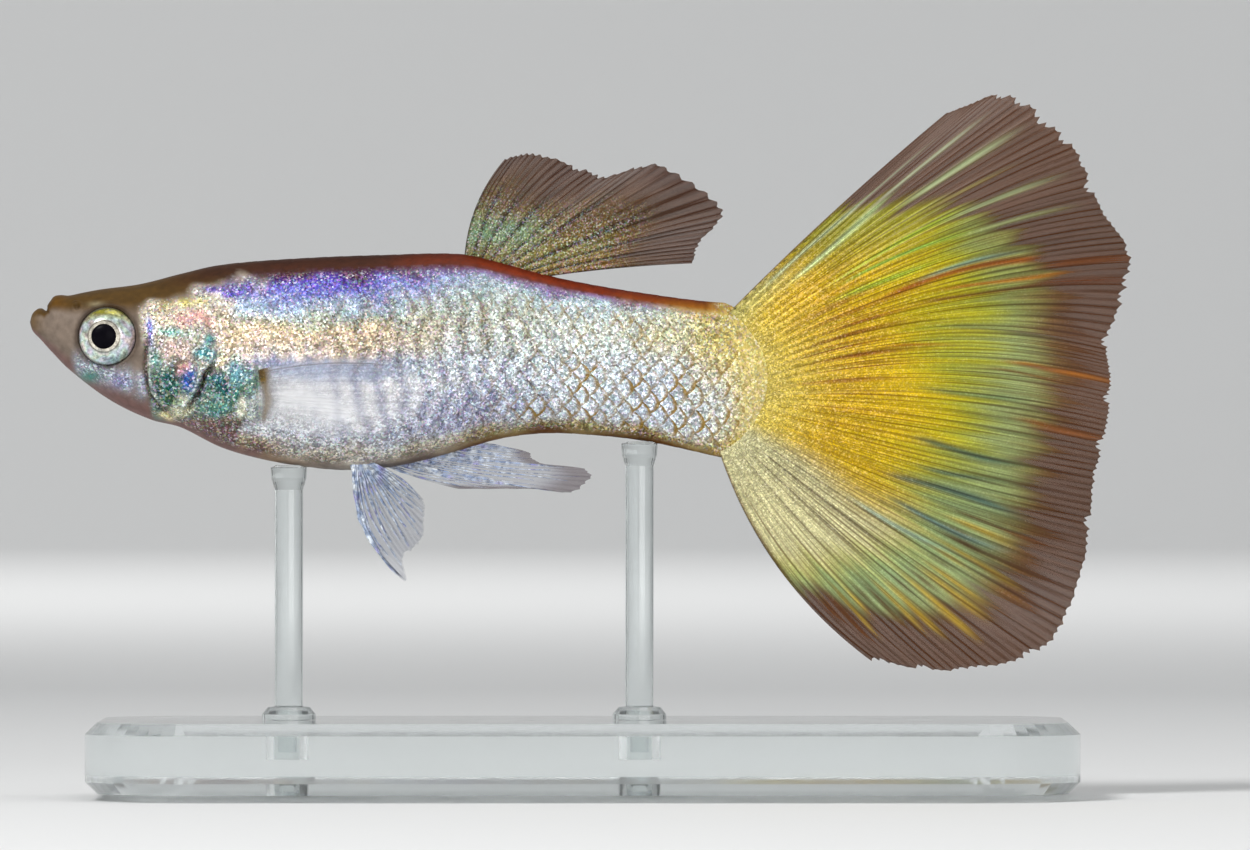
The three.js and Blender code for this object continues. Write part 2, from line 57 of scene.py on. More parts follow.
# The body's outline and width, as (along, value)
BACK_LINE = [
    (0, 1.62), (0.1, 1.95), (0.3, 2.14), (0.5, 2.17), (0.68, 2.13), (0.82, 2.4), (1.0, 2.68), (1.3, 2.76),
    (1.65, 2.74), (2.2, 2.85), (3.0, 3.0), (4.7, 3.23), (6.4, 3.66), (8.1, 4.04), (11.5, 4.32), (15, 4.46),
    (18.3, 4.5), (20, 4.14), (21.5, 3.73), (23, 3.37), (26, 2.85), (29.3, 2.45), (32, 2.5),
]
BELLY_LINE = [
    (0, 1.6), (0.1, 1.26), (0.43, 0.9), (0.85, 0.43), (1.7, -0.43), (3.4, -1.7), (5.1, -2.52), (6.4, -2.86),
    (8.1, -3.7), (9.8, -4.2), (11.5, -4.5), (13.2, -4.67), (14.9, -4.6), (16.6, -4.29), (18.3, -3.82),
    (20, -3.34), (21.7, -3.12), (23.4, -3.15), (26, -3.42), (29.1, -4.08), (32, -4.8),
]
HALF_WIDTH = [
    (0, 0.0), (0.05, 0.42), (0.15, 0.68), (0.43, 1.0), (0.85, 1.32), (1.7, 1.76), (3.4, 2.2), (5, 2.38),
    (7, 2.48), (9.8, 2.6), (13, 2.5), (16, 2.14), (19, 1.68), (22, 1.3), (25, 1.02), (28, 0.72), (30, 0.42),
    (31.8, 0.1),
]
WIDEST_HEIGHT = [
    (0, 1.61), (2, 1.15), (4, 0.7), (8, 0.15), (13, -0.4), (18, 0), (24, -0.15), (32, -0.85),
]
BACK_FULLNESS = [(0, 0.8), (5, 0.84), (12, 0.95), (20, 1.08), (32, 1)]
BELLY_FULLNESS = [(0, 0.9), (5, 0.95), (13, 0.92), (20, 1.08), (32, 1)]
# The stalk ends in an arc under the tail fin
STALK_END_CENTRE = (28.3, -0.85)
STALK_END_RADIUS = 3.5
STALK_END_TOP = math.radians(66)
STALK_END_BOTTOM = math.radians(-72)
STALK_ARC_START = 29.2
SKIN_END = STALK_END_CENTRE[0] + STALK_END_RADIUS

# The head's relief: the gill cover's rear and front edges as (height, along), the mouth and the nostril
GILL_REAR = [
    (-2.6, 6.3), (-1.9, 6.8), (-1.3, 7.23), (-0.64, 7.44), (-0.3, 7.7), (0.2, 8.0), (0.9, 7.8), (1.6, 7.5),
]
GILL_FRONT = [(-2.4, 6.2), (-2.1, 5.75), (-1.7, 5.35), (-1.28, 5.08), (0, 4.98), (0.7, 5.05), (1.2, 5.2)]
MOUTH_TOP = (0.66, 2.2)
MOUTH_CORNER = (1.35, 1.3)
NOSTRIL = (2.05, 2.25)
SOCKET_DEPTH = 0.45
PECTORAL_EDGE = 9.75

# Patches of the gill cover and shoulder: along, height, half length, half height, colour and strength
HEAD_PATCHES = [
    (6.9, 2.5, 0.42, 0.22, (196, 184, 104), 0.9), (5.7, 2.2, 0.6, 0.26, (130, 112, 60), 0.8),
    (8.9, 3.0, 0.7, 0.34, (84, 72, 172), 0.9), (7.8, 2.92, 0.5, 0.2, (92, 78, 172), 0.8),
    (5.6, 1.9, 0.45, 0.3, (206, 190, 160), 0.85), (7.2, 1.65, 0.6, 0.34, (220, 168, 156), 0.9),
    (8.7, 1.55, 0.6, 0.34, (220, 190, 150), 0.8), (6.3, 1.25, 0.6, 0.22, (120, 186, 170), 0.75),
    (7.9, 0.85, 0.5, 0.34, (226, 194, 170), 0.8), (5.2, 1.1, 0.2, 0.5, (120, 124, 210), 0.8),
    (6.4, 0.35, 0.5, 0.45, (226, 196, 186), 0.85), (5.4, 0.1, 0.3, 0.4, (120, 164, 156), 0.8),
    (7.45, 0.45, 0.36, 0.4, (76, 158, 170), 0.9), (5.9, -0.6, 0.5, 0.32, (38, 100, 96), 0.95),
    (6.6, -0.4, 0.34, 0.26, (206, 150, 146), 0.75), (5.4, -1.2, 0.26, 0.4, (60, 92, 78), 0.9),
    (6.95, -0.95, 0.26, 0.42, (46, 96, 180), 0.9), (6.2, -1.25, 0.4, 0.3, (20, 104, 92), 0.95),
    (6.2, -1.75, 0.5, 0.24, (64, 104, 74), 0.9), (6.0, -2.36, 0.5, 0.18, (255, 240, 176), 1.0),
    (6.7, -2.14, 0.26, 0.16, (250, 246, 206), 1.0), (6.9, -1.75, 0.2, 0.22, (220, 226, 196), 0.85),
    (8.15, -0.95, 0.42, 0.5, (44, 104, 110), 1.0), (8.7, -1.55, 0.42, 0.4, (30, 116, 104), 0.95),
    (9.15, -0.6, 0.36, 0.34, (110, 164, 176), 0.8), (9.15, -2.05, 0.3, 0.34, (255, 255, 228), 1.0),
    (8.2, 0.1, 0.5, 0.2, (214, 196, 160), 0.85), (7.9, -2.1, 0.4, 0.26, (84, 150, 140), 0.75),
    (8.3, -2.9, 0.9, 0.3, (180, 142, 96), 0.9), (7.0, -2.9, 0.6, 0.26, (176, 134, 124), 0.8),
]
PATCH_GAIN = 1.6

# Scales of a side: their pitch along the body, rows from back to belly, and first and last places
SCALE_PITCH, SCALE_ROWS = 0.745, 15
SCALE_START, SCALE_STOP = 8.2, 31.3
SCALE_LENGTH, SCALE_OVERLAP = 1.3, 2.0
SCALE_THICKNESS, SCALE_LIFT, SCALE_SINK = 0.014, 0.014, 0.02
SCALE_JITTER = 0.04
BAKE_PATCH = 0.003
# Edges sharper than this, in radians, stay crisp
RIM_ANGLE = 1.3


# Shape and colour helpers

def smooth_line(knots):
    """A smooth value along a row of (place, value) knots."""
    places, values = (np.array(row, float) for row in zip(*knots))
    slopes = np.empty(len(knots))
    slopes[1:-1] = (values[2:] - values[:-2]) / (places[2:] - places[:-2])
    slopes[0] = (values[1] - values[0]) / (places[1] - places[0])
    slopes[-1] = (values[-1] - values[-2]) / (places[-1] - places[-2])

    def value_at(place):
        start = np.clip(np.searchsorted(places, place) - 1, 0, len(knots) - 2)
        gap = places[start + 1] - places[start]
        t = np.clip((place - places[start]) / gap, 0, 1)
        ease = t * t * (3 - 2 * t)
        leaving = slopes[start] * gap * t * (1 - t) ** 2
        arriving = slopes[start + 1] * gap * t * t * (1 - t)
        return values[start] + (values[start + 1] - values[start]) * ease + leaving - arriving

    return value_at


def rise(low, high, value):
    """0 below low, 1 above high, and a smooth step between them."""
    t = np.clip((value - low) / (high - low), 0, 1)
    return t * t * (3 - 2 * t)


def fall(low, high, value):
    """1 below low, 0 above high, and a smooth step between them."""
    return 1 - rise(low, high, value)


def span(value, start, full, wane, end):
    """0 outside start and end, 1 between full and wane, and smooth steps between."""
    return rise(start, full, value) * fall(wane, end, value)


def hump(centre, width, value):
    return np.exp(-(((value - centre) / width) ** 2))


def spot(along, height, centre, level, long, tall):
    """A soft round spot, 1 at its middle, with its half length and half height."""
    return hump(centre, long, along) * hump(level, tall, height)


def ripple(value, power=1):
    """1 at each whole number and 0 halfway between, more pointed with a higher power."""
    return (0.5 + 0.5 * np.cos(2 * np.pi * value)) ** power


def mix(first, second, share):
    share = np.asarray(share, float)
    if np.shape(second)[-1:] == (3,):
        share = share[..., None]
    return first + (second - first) * share


def tone(red, green, blue):
    """A colour named by its screen values, as a linear one."""
    screen = np.array([red, green, blue]) / 255
    return np.where(screen <= 0.04045, screen / 12.92, ((screen + 0.055) / 1.055) ** 2.4)


def laid(tint, *layers):
    """A tint with (colour, share) layers laid over it in turn."""
    for colour, share in layers:
        tint = mix(tint, tone(*colour), share)
    return tint


def colour_run(value, stops):
    """A colour for each value from (value, colour) stops."""
    places = [place for place, _ in stops]
    parts = zip(*(tone(*colour) for _, colour in stops))
    return np.stack([np.interp(value, places, part) for part in parts], -1)


def wander(first, second, seed, waves=7):
    """A soft uneven value, mostly from -1 to 1, over two coordinates in millimetres."""
    draw = np.random.default_rng(seed)
    total = 0
    for _ in range(waves):
        turn = draw.uniform(0, 2 * math.pi)
        pitch = draw.uniform(0.6, 3.2)
        path = math.cos(turn) * first + math.sin(turn) * second
        total = total + np.sin(pitch * path + draw.uniform(0, 6.3))
    return total / math.sqrt(waves)


def in_frame(places):
    """Places in millimetres along the fish as places in the frame, in metres."""
    return np.array([JAW_TIP_X, 0, AXIS_Z]) + np.asarray(places) * MM


back_line = smooth_line(BACK_LINE)
belly_line = smooth_line(BELLY_LINE)
half_width_at = smooth_line(HALF_WIDTH)
widest_at = smooth_line(WIDEST_HEIGHT)
back_fullness_at = smooth_line(BACK_FULLNESS)
belly_fullness_at = smooth_line(BELLY_FULLNESS)
gill_rear_at = smooth_line(GILL_REAR)
gill_front_at = smooth_line(GILL_FRONT)


def stalk_end_half(along):
    return np.sqrt(np.clip(STALK_END_RADIUS ** 2 - (along - STALK_END_CENTRE[0]) ** 2, 0, None))


def back_at(along):
    arc = STALK_END_CENTRE[1] + stalk_end_half(along)
    return np.where(along > STALK_ARC_START, np.minimum(back_line(along), arc), back_line(along))


def belly_at(along):
    arc = STALK_END_CENTRE[1] - stalk_end_half(along)
    return np.where(along > STALK_ARC_START, np.maximum(belly_line(along), arc), belly_line(along))


def section_half(along, widest, above):
    """How full the body's section is over or under its widest place, and how far that half reaches."""
    fullness = np.where(above, back_fullness_at(along), belly_fullness_at(along))
    return fullness, np.where(above, back_at(along) - widest, widest - belly_at(along))


def body_point(along, angle):
    """The skin's place at an angle round the body, 0 at the back and pi at the belly."""
    upward, sideways = np.cos(angle), np.sin(angle)
    widest = np.clip(widest_at(along), belly_at(along), back_at(along))
    fullness, reach = section_half(along, widest, upward > 0)
    height = widest + reach * np.sign(upward) * np.abs(upward) ** fullness
    across = half_width_at(along) * np.sign(sideways) * np.abs(sideways) ** fullness
    return np.stack([along, across, height], -1)


def body_normal(along, angle):
    """The direction out of the skin."""
    step = 0.02
    lengthwise = body_point(along + step, angle) - body_point(along - step, angle)
    round_body = body_point(along, angle + step) - body_point(along, angle - step)
    normal = np.cross(lengthwise, round_body)
    return normal / np.maximum(np.linalg.norm(normal, axis=-1, keepdims=True), 1e-9)


def flank_at(along, height):
    """How far the body's side stands from the middle plane at a height."""
    widest = widest_at(along)
    fullness, reach = section_half(along, widest, height > widest)
    share = np.clip(np.abs(height - widest) / reach, 0, 1) ** (2 / fullness)
    return half_width_at(along) * (1 - share) ** (fullness / 2)


# Building helpers

def link_object(name, data):
    thing = bpy.data.objects.new(name, data)
    bpy.context.scene.collection.objects.link(thing)
    return thing


def shade_faces(mesh, smooth=True):
    mesh.polygons.foreach_set("use_smooth", [smooth] * len(mesh.polygons))


def add_piece(mesh, name, finish, slot, *nodes):
    """A finished mesh as a piece that rides on the root body, with the CAD nodes it takes the place of
    hidden.
    """
    piece = link_object(name, mesh)
    mesh.materials.append(finish)
    shade_faces(mesh)
    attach(piece, "root")
    if nodes:
        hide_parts(*nodes)
    return piece


def as_mesh(shape, name):
    mesh = bpy.data.meshes.new(name)
    shape.to_mesh(mesh)
    shape.free()
    return mesh


def raw_grids(columns, rows, count):
    """Flat grids over the unit square, one over the other, as a mesh and its vertices' (u, v, layer)."""
    grids = bmesh.new()
    for layer in range(count):
        place = Matrix.Translation((0.5, 0.5, layer))
        bmesh.ops.create_grid(grids, x_segments=columns, y_segments=rows, size=0.5, matrix=place)
    mesh = as_mesh(grids, "sheet")
    places = np.empty(len(mesh.vertices) * 3, np.float32)
    mesh.vertices.foreach_get("co", places)
    u, v, layer = places.reshape(-1, 3).astype(float).T
    return mesh, np.clip(u, 0, 1), np.clip(v, 0, 1), np.round(layer)


def turned(profile, steps, centre=(0, 0)):
    """A profile of (radius, height) points spun all round an upright axis."""
    shape = bmesh.new()
    points = [shape.verts.new((centre[0] + out, centre[1], up)) for out, up in profile]
    edges = [shape.edges.new(pair) for pair in zip(points, points[1:])]
    bmesh.ops.spin(
        shape, geom=points + edges, cent=(*centre, 0), axis=(0, 0, 1), angle=2 * math.pi, steps=steps,
        use_merge=True,
    )
    bmesh.ops.remove_doubles(shape, verts=shape.verts, dist=1e-6)
    bmesh.ops.recalc_face_normals(shape, faces=shape.faces)
    return shape


def paint(mesh, marks):
    """Writes named values on a mesh's vertices: three columns are a colour and one is a plain number."""
    for name, values in marks.items():
        if np.ndim(values) == 2:
            layer = mesh.attributes.new(name, "FLOAT_COLOR", "POINT")
            alpha = np.ones((len(values), 1))
            colours = np.hstack([np.clip(values, 0.002, 1), alpha])
            layer.data.foreach_set("color", colours.astype(np.float32).ravel())
        else:
            layer = mesh.attributes.new(name, "FLOAT", "POINT")
            values = np.broadcast_to(values, len(mesh.vertices))
            layer.data.foreach_set("value", values.astype(np.float32))


def lay_map(mesh, name, across, up):
    """A UV map from two values at each vertex."""
    corners = np.empty(len(mesh.loops), np.int32)
    mesh.loops.foreach_get("vertex_index", corners)
    layer = mesh.uv_layers.new(name=name)
    places = np.stack([across[corners], up[corners]], -1)
    layer.data.foreach_set("uv", places.astype(np.float32).ravel())


def sew(mesh, distance=2e-7):
    """Joins the borders that meet, turns the faces outwards and keeps thin rims crisp."""
    sewn = bmesh.new()
    sewn.from_mesh(mesh)
    bmesh.ops.remove_doubles(sewn, verts=sewn.verts, dist=distance)
    bmesh.ops.recalc_face_normals(sewn, faces=sewn.faces)
    for edge in sewn.edges:
        if edge.calc_face_angle(0) > RIM_ANGLE:
            edge.smooth = False
    sewn.to_mesh(mesh)
    sewn.free()


# Finishes

class Finish:
    """A material whose nodes are added by short calls."""

    def __init__(self, name):
        self.material = bpy.data.materials.new(name)
        self.material.use_nodes = True
        self.tree = self.material.node_tree
        self.shader = self.tree.nodes["Principled BSDF"]

    def set(self, node, **values):
        """Sets inputs by name, or by number as i0: links, numbers, and arrays as plain colours."""
        for label, value in values.items():
            numbered = label[0] == "i" and label[1:].isdigit()
            socket = node.inputs[int(label[1:]) if numbered else label.replace("_", " ")]
            if isinstance(value, bpy.types.NodeSocket):
                self.tree.links.new(value, socket)
            else:
                socket.default_value = (*value, 1) if isinstance(value, np.ndarray) else value

    def node(self, kind, settings=(), out=0, **values):
        node = self.tree.nodes.new(kind)
        for label, value in dict(settings).items():
            setattr(node, label, value)
        self.set(node, **values)
        return node.outputs[out]

    def done(self, **values):
        """Sets the shader's own inputs and gives the finished material."""
        self.set(self.shader, **values)
        return self.material

    def math(self, operation, first, second=0.0, clamp=False):
        settings = {"operation": operation, "use_clamp": clamp}
        return self.node("ShaderNodeMath", settings, i0=first, i1=second)

    def times(self, first, second):
        return self.math("MULTIPLY", first, second)

    def vector(self, operation, out=0, **values):
        return self.node("ShaderNodeVectorMath", {"operation": operation}, out=out, **values)

    def blend(self, share, first, second, mode="MIX"):
        settings = {"data_type": "RGBA", "blend_type": mode}
        return self.node("ShaderNodeMix", settings, out=2, i0=share, i6=first, i7=second)

    def shade(self, colour, light):
        """A colour times a number."""
        grey = self.node("ShaderNodeCombineColor", i0=light, i1=light, i2=light)
        return self.blend(1.0, colour, grey, "MULTIPLY")

    def spread(self, value, low, high, new_low=0.0, new_high=1.0):
        return self.node("ShaderNodeMapRange", i0=value, i1=low, i2=high, i3=new_low, i4=new_high)

    def parts(self, value):
        """The three parts of a colour or a place."""
        node = self.tree.nodes.new("ShaderNodeSeparateXYZ")
        self.tree.links.new(value, node.inputs[0])
        return tuple(node.outputs)

    def mark(self, name, colour=False):
        return self.node("ShaderNodeAttribute", {"attribute_name": name}, out=0 if colour else 2)

    def map_place(self, name):
        return self.node("ShaderNodeUVMap", {"uv_map": name})

    def place(self):
        return self.node("ShaderNodeTexCoord", out=3)

    def grains(self, size):
        """The random colour of small cells, each about one size across, in metres."""
        return self.node("ShaderNodeTexVoronoi", out=1, Vector=self.place(), Scale=1 / size)

    def speckle(self, size):
        """A random number for each such cell."""
        return self.parts(self.grains(size))[0]

    def noise(self, size, detail=3.0):
        return self.node("ShaderNodeTexNoise", Vector=self.place(), Scale=1 / size, Detail=detail)

    def uneven(self, size, low, high, dark, light, detail=3.0):
        """A noise spread from low and high to dark and light."""
        return self.spread(self.noise(size, detail), low, high, dark, light)


def glitter(finish, tint, amount, grain, hues=0.24, dark=0.44, bright=1.55, painted_glints=0.45):
    """Breaks a tint into grains that differ in hue and brightness and face slightly apart, and paints white
    glints on the brightest grains.
    """
    cells = finish.grains(grain)
    value, hue, pick = finish.parts(cells)
    light = finish.spread(finish.math("POWER", value, 1.6), 0.0, 1.0, dark, bright)
    light = finish.times(light, finish.spread(finish.speckle(0.5 * grain), 0, 1, 0.7, 1.3))
    light = finish.times(light, finish.uneven(0.36 * MM, 0.3, 0.7, 0.76, 1.26))
    stray = finish.node("ShaderNodeCombineColor", {"mode": "HSV"}, i0=hue, i1=0.6, i2=0.85)
    share = finish.times(finish.math("GREATER_THAN", pick, 0.5), finish.times(amount, hues))
    coloured = finish.blend(share, tint, stray)
    coloured = finish.blend(amount, coloured, finish.shade(coloured, light))
    # Painted glints: the brightest grains are blended toward white as highlights.
    painted_glint = finish.times(finish.spread(value, 0.88, 0.96, 0.0, painted_glints), amount)
    coloured = finish.blend(painted_glint, coloured, (1, 1, 1, 1))
    normal = finish.tree.nodes.new("ShaderNodeNewGeometry").outputs["Normal"]
    lean = finish.vector("SUBTRACT", i0=cells, i1=(0.5, 0.5, 0.5))
    scaled = finish.vector("SCALE", i0=lean, Scale=finish.times(amount, 0.5))
    facing = finish.vector("NORMALIZE", i0=finish.vector("ADD", i0=normal, i1=scaled))
    return coloured, facing


def skin_finish(name, scaled):
    """Wet skin: painted bands broken into silver glitter, and on the scales a gold net along their edges."""
    finish = Finish(name)
    shine = finish.mark("shine")
    tint = finish.shade(finish.mark("tint", colour=True), finish.uneven(0.3 * MM, 0.3, 0.7, 0.8, 1.15))
    colour, facing = glitter(finish, tint, shine, 0.078 * MM)
    if scaled:
        back = finish.parts(finish.map_place("plate"))[0]
        wobble = finish.uneven(0.16 * MM, 0.25, 0.75, -0.05, 0.05)
        rim = finish.spread(finish.math("ADD", back, wobble), 0.82, 0.92)
        rim = finish.times(rim, finish.uneven(0.7 * MM, 0.35, 0.55, 0.5, 1.0))
        rim = finish.times(rim, finish.mark("net"))
        colour = finish.blend(finish.times(rim, 0.95), colour, tone(140, 110, 42))
    return finish.done(
        Base_Color=colour, Normal=facing, Metallic=finish.times(shine, 0.4),
        Roughness=finish.spread(shine, 0.0, 1.0, 0.5, 0.32), Specular_IOR_Level=0.1,
    )


def fin_finish(name, rays, hairs, line_shade, grain, hues=0.1, roughness=0.38, painted_glints=0.3):
    """A fin: a clear membrane, fine ray lines and hairs that run with its map, and grains near its root."""
    finish = Finish(name)
    shine = finish.mark("shine")
    tint = finish.mark("tint", colour=True)
    lines = finish.mark("lines")
    place = finish.map_place("fin")
    phase = finish.math("PINGPONG", finish.times(finish.parts(place)[0], float(rays)), 0.5)
    ray = finish.spread(phase, 0.2, 0.42)
    drawn = finish.vector("MULTIPLY", i0=place, i1=(float(hairs), 2.0, 0.0))
    fibre = finish.node("ShaderNodeTexNoise", Vector=drawn, Scale=1.0, Detail=3.0)
    dark = finish.times(finish.times(ray, finish.spread(fibre, 0.64, 0.42)), lines)
    hair_light = finish.spread(fibre, 0.36, 0.66, 0.64, 1.28)
    light = finish.node("ShaderNodeMix", i0=lines, i2=1.0, i3=hair_light)
    colour, facing = glitter(finish, tint, shine, grain, hues, dark=0.45, bright=1.5, painted_glints=painted_glints)
    line = finish.blend(1.0, tint, line_shade, "MULTIPLY")
    colour = finish.blend(finish.times(dark, 0.9), finish.shade(colour, light), line)
    seen = finish.math("ADD", finish.mark("solid"), finish.times(dark, 0.4), clamp=True)
    return finish.done(
        Base_Color=colour, Normal=facing, Metallic=finish.times(shine, 0.3), Alpha=seen,
        Roughness=roughness, Specular_IOR_Level=0.15,
    )


def ray_finish():
    """The silver-blue strands of the belly fins."""
    finish = Finish("fin_strands")
    pale = finish.uneven(0.3 * MM, 0.4, 0.66, 0.0, 1.0)
    colour = finish.blend(pale, tone(160, 176, 206), tone(244, 250, 255))
    violet = finish.uneven(0.6 * MM, 0.56, 0.66, 0.0, 0.6, detail=1.0)
    colour = finish.blend(violet, colour, tone(128, 112, 204))
    colour = finish.shade(colour, finish.spread(finish.speckle(0.12 * MM), 0.0, 1.0, 0.6, 1.5))
    return finish.done(Base_Color=colour, Metallic=0.4, Roughness=0.25)


def eye_finish():
    """A silver iris: a pale ring round the pupil, brushed silver with olive above, and a dark edge."""
    finish = Finish("eye_iris")

    def distance_from(along):
        """The offset from a point of the eye, seen from the side in millimetres, and its length."""
        centre = tuple(in_frame((along, 0, EYE_HEIGHT)))
        offset = finish.vector("SUBTRACT", i0=finish.place(), i1=centre)
        flat = finish.vector("MULTIPLY", i0=offset, i1=(1 / MM, 0, 1 / MM))
        return flat, finish.vector("LENGTH", out=1, i0=flat)

    flat, from_pupil = distance_from(PUPIL_ALONG)
    _, from_middle = distance_from(EYE_ALONG)
    ring = finish.tree.nodes.new("ShaderNodeValToRGB")
    stops = [
        (0.0, (20, 18, 16)), (0.48, (40, 36, 30)), (0.53, (214, 206, 188)), (0.63, (206, 200, 186)),
        (0.67, (120, 112, 98)), (0.73, (190, 190, 182)), (0.9, (236, 240, 236)), (1.0, (220, 222, 214)),
    ]
    for index, (place, colour) in enumerate(stops):
        element = ring.color_ramp.elements[index] if index < 2 else ring.color_ramp.elements.new(place)
        element.position = place
        element.color = (*tone(*colour), 1)
    finish.set(ring, i0=from_pupil)
    up = finish.parts(flat)[2]
    sheen = finish.uneven(0.55 * MM, 0.35, 0.65, 0.0, 1.0, detail=1.0)
    tinged = finish.node("ShaderNodeCombineColor", {"mode": "HSV"}, i0=sheen, i1=0.35, i2=0.8)
    colour = finish.blend(finish.spread(from_pupil, 0.68, 0.8, 0.0, 0.45), ring.outputs[0], tinged)
    olive = finish.times(finish.spread(up, 0.45, 1.0), finish.spread(from_middle, 0.75, 0.95))
    colour = finish.blend(olive, colour, tone(142, 136, 30))
    lower = finish.times(finish.spread(up, -0.4, -0.95), finish.uneven(0.5 * MM, 0.4, 0.6, 0.0, 1.0))
    colour = finish.blend(finish.times(lower, 0.5), colour, tone(110, 166, 180))
    fine = finish.spread(finish.speckle(0.07 * MM), 0.0, 1.0, 0.72, 1.25)
    brushed = finish.times(finish.uneven(0.22 * MM, 0.3, 0.7, 0.5, 1.45), fine)
    colour = finish.shade(colour, brushed)
    colour = finish.blend(finish.spread(from_middle, 1.14, 1.22), colour, tone(30, 24, 16))
    return finish.done(
        Base_Color=colour, Metallic=0.5, Roughness=0.22, Coat_Weight=0.6, Coat_Roughness=0.03,
    )


def pupil_finish():
    """A black pupil with a faint bloom."""
    finish = Finish("eye_pupil")
    bloom = finish.blend(finish.noise(0.5 * MM), (0.001, 0.001, 0.002, 1), (0.006, 0.005, 0.008, 1))
    return finish.done(Base_Color=bloom, Roughness=0.3, Specular_IOR_Level=0.03)


def acrylic_finish():
    """Clear cast plastic, with faint polishing marks."""
    finish = Finish("clear_plastic")
    polish = finish.uneven(1.2 * MM, 0.3, 0.7, 0.03, 0.09)
    pale = tone(236, 241, 241)
    return finish.done(Base_Color=pale, Roughness=polish, IOR=1.49, Transmission_Weight=0.92)


# The skin

STATIONS_HEAD, STATIONS_BODY = 150, 180
HEAD_END = 10.0
SKIN_SIDES = 200


def head_relief(along, height, side_share):
    """How far the head's skin stands out of the plain body, in millimetres."""
    eye = np.hypot(along - EYE_ALONG, height - EYE_HEIGHT)
    lift = -SOCKET_DEPTH * fall(1.14, 1.27, eye) + 0.06 * hump(1.38, 0.1, eye)
    plate = rise(4.9, 6.2, along) * span(height, -3.0, -2.2, 1.0, 2.2)
    behind = along - gill_rear_at(height)
    lift = lift + 0.2 * plate * fall(-0.05, 0.08, behind)
    lift = lift - 0.16 * hump(0.08, 0.07, behind) * span(height, -2.5, -2.0, -0.1, 0.6)
    ahead = along - gill_front_at(height)
    crease = 0.07 * hump(0.22, 0.12, ahead) - 0.15 * hump(0, 0.07, ahead)
    lift = lift + crease * span(height, -2.5, -2.2, 0.7, 1.25)
    inner = hump(-0.9, 0.1, behind + 0.25 * (height + 1))
    lift = lift + 0.05 * inner * span(height, -2.2, -1.8, -0.9, -0.3)
    shoulder = span(along, 7.5, 8.3, PECTORAL_EDGE - 0.1, PECTORAL_EDGE)
    lift = lift + 0.14 * shoulder * span(height, -2.9, -2.3, -0.2, 0.35)
    nostril = np.hypot(along - NOSTRIL[0], height - NOSTRIL[1])
    lift = lift - 0.16 * hump(0, 0.09, nostril) + 0.05 * hump(0.19, 0.07, nostril)
    return lift * side_share + mouth_relief(along, height)


def mouth_relief(along, height):
    """The mouth's line, from the notch over the jaw tip down to its corner, with a lip on each side."""
    run = np.array(MOUTH_CORNER) - np.array(MOUTH_TOP)
    length = np.linalg.norm(run)
    run = run / length
    down = (along - MOUTH_TOP[0]) * run[0] + (height - MOUTH_TOP[1]) * run[1]
    beside = -(along - MOUTH_TOP[0]) * run[1] + (height - MOUTH_TOP[1]) * run[0]
    lips = 0.03 * hump(0.2, 0.14, beside) + 0.03 * hump(-0.2, 0.14, beside)
    return span(down, -0.4, -0.05, 0.1 * length, 0.7 * length) * (lips - 0.08 * hump(0, 0.06, beside))


# The body's bands from back to belly, as (depth, colour): its front, its rear and the stalk's gold end
FRONT_BANDS = [
    (0, (52, 25, 12)), (0.06, (66, 32, 16)), (0.085, (72, 38, 84)), (0.12, (84, 62, 176)),
    (0.17, (100, 104, 194)), (0.21, (146, 160, 204)), (0.26, (176, 196, 214)), (0.31, (186, 186, 160)),
    (0.35, (236, 208, 168)), (0.42, (240, 220, 200)), (0.45, (220, 206, 202)), (0.485, (150, 158, 186)),
    (0.56, (166, 176, 200)), (0.61, (240, 238, 238)), (0.76, (255, 255, 255)), (0.86, (236, 242, 255)),
    (0.93, (244, 236, 222)), (0.96, (184, 172, 160)), (1, (112, 106, 104)),
]
REAR_BANDS = [
    (0, (84, 24, 4)), (0.045, (122, 42, 6)), (0.06, (96, 52, 46)), (0.09, (146, 130, 176)),
    (0.13, (184, 206, 214)), (0.3, (222, 230, 218)), (0.5, (218, 228, 232)), (0.7, (228, 240, 250)),
    (0.88, (232, 240, 250)), (0.93, (170, 150, 100)), (1, (104, 68, 34)),
]
GOLD_BANDS = [
    (0, (84, 30, 4)), (0.045, (140, 84, 16)), (0.1, (206, 188, 104)), (0.5, (214, 194, 110)),
    (0.85, (206, 194, 124)), (1, (140, 104, 34)),
]


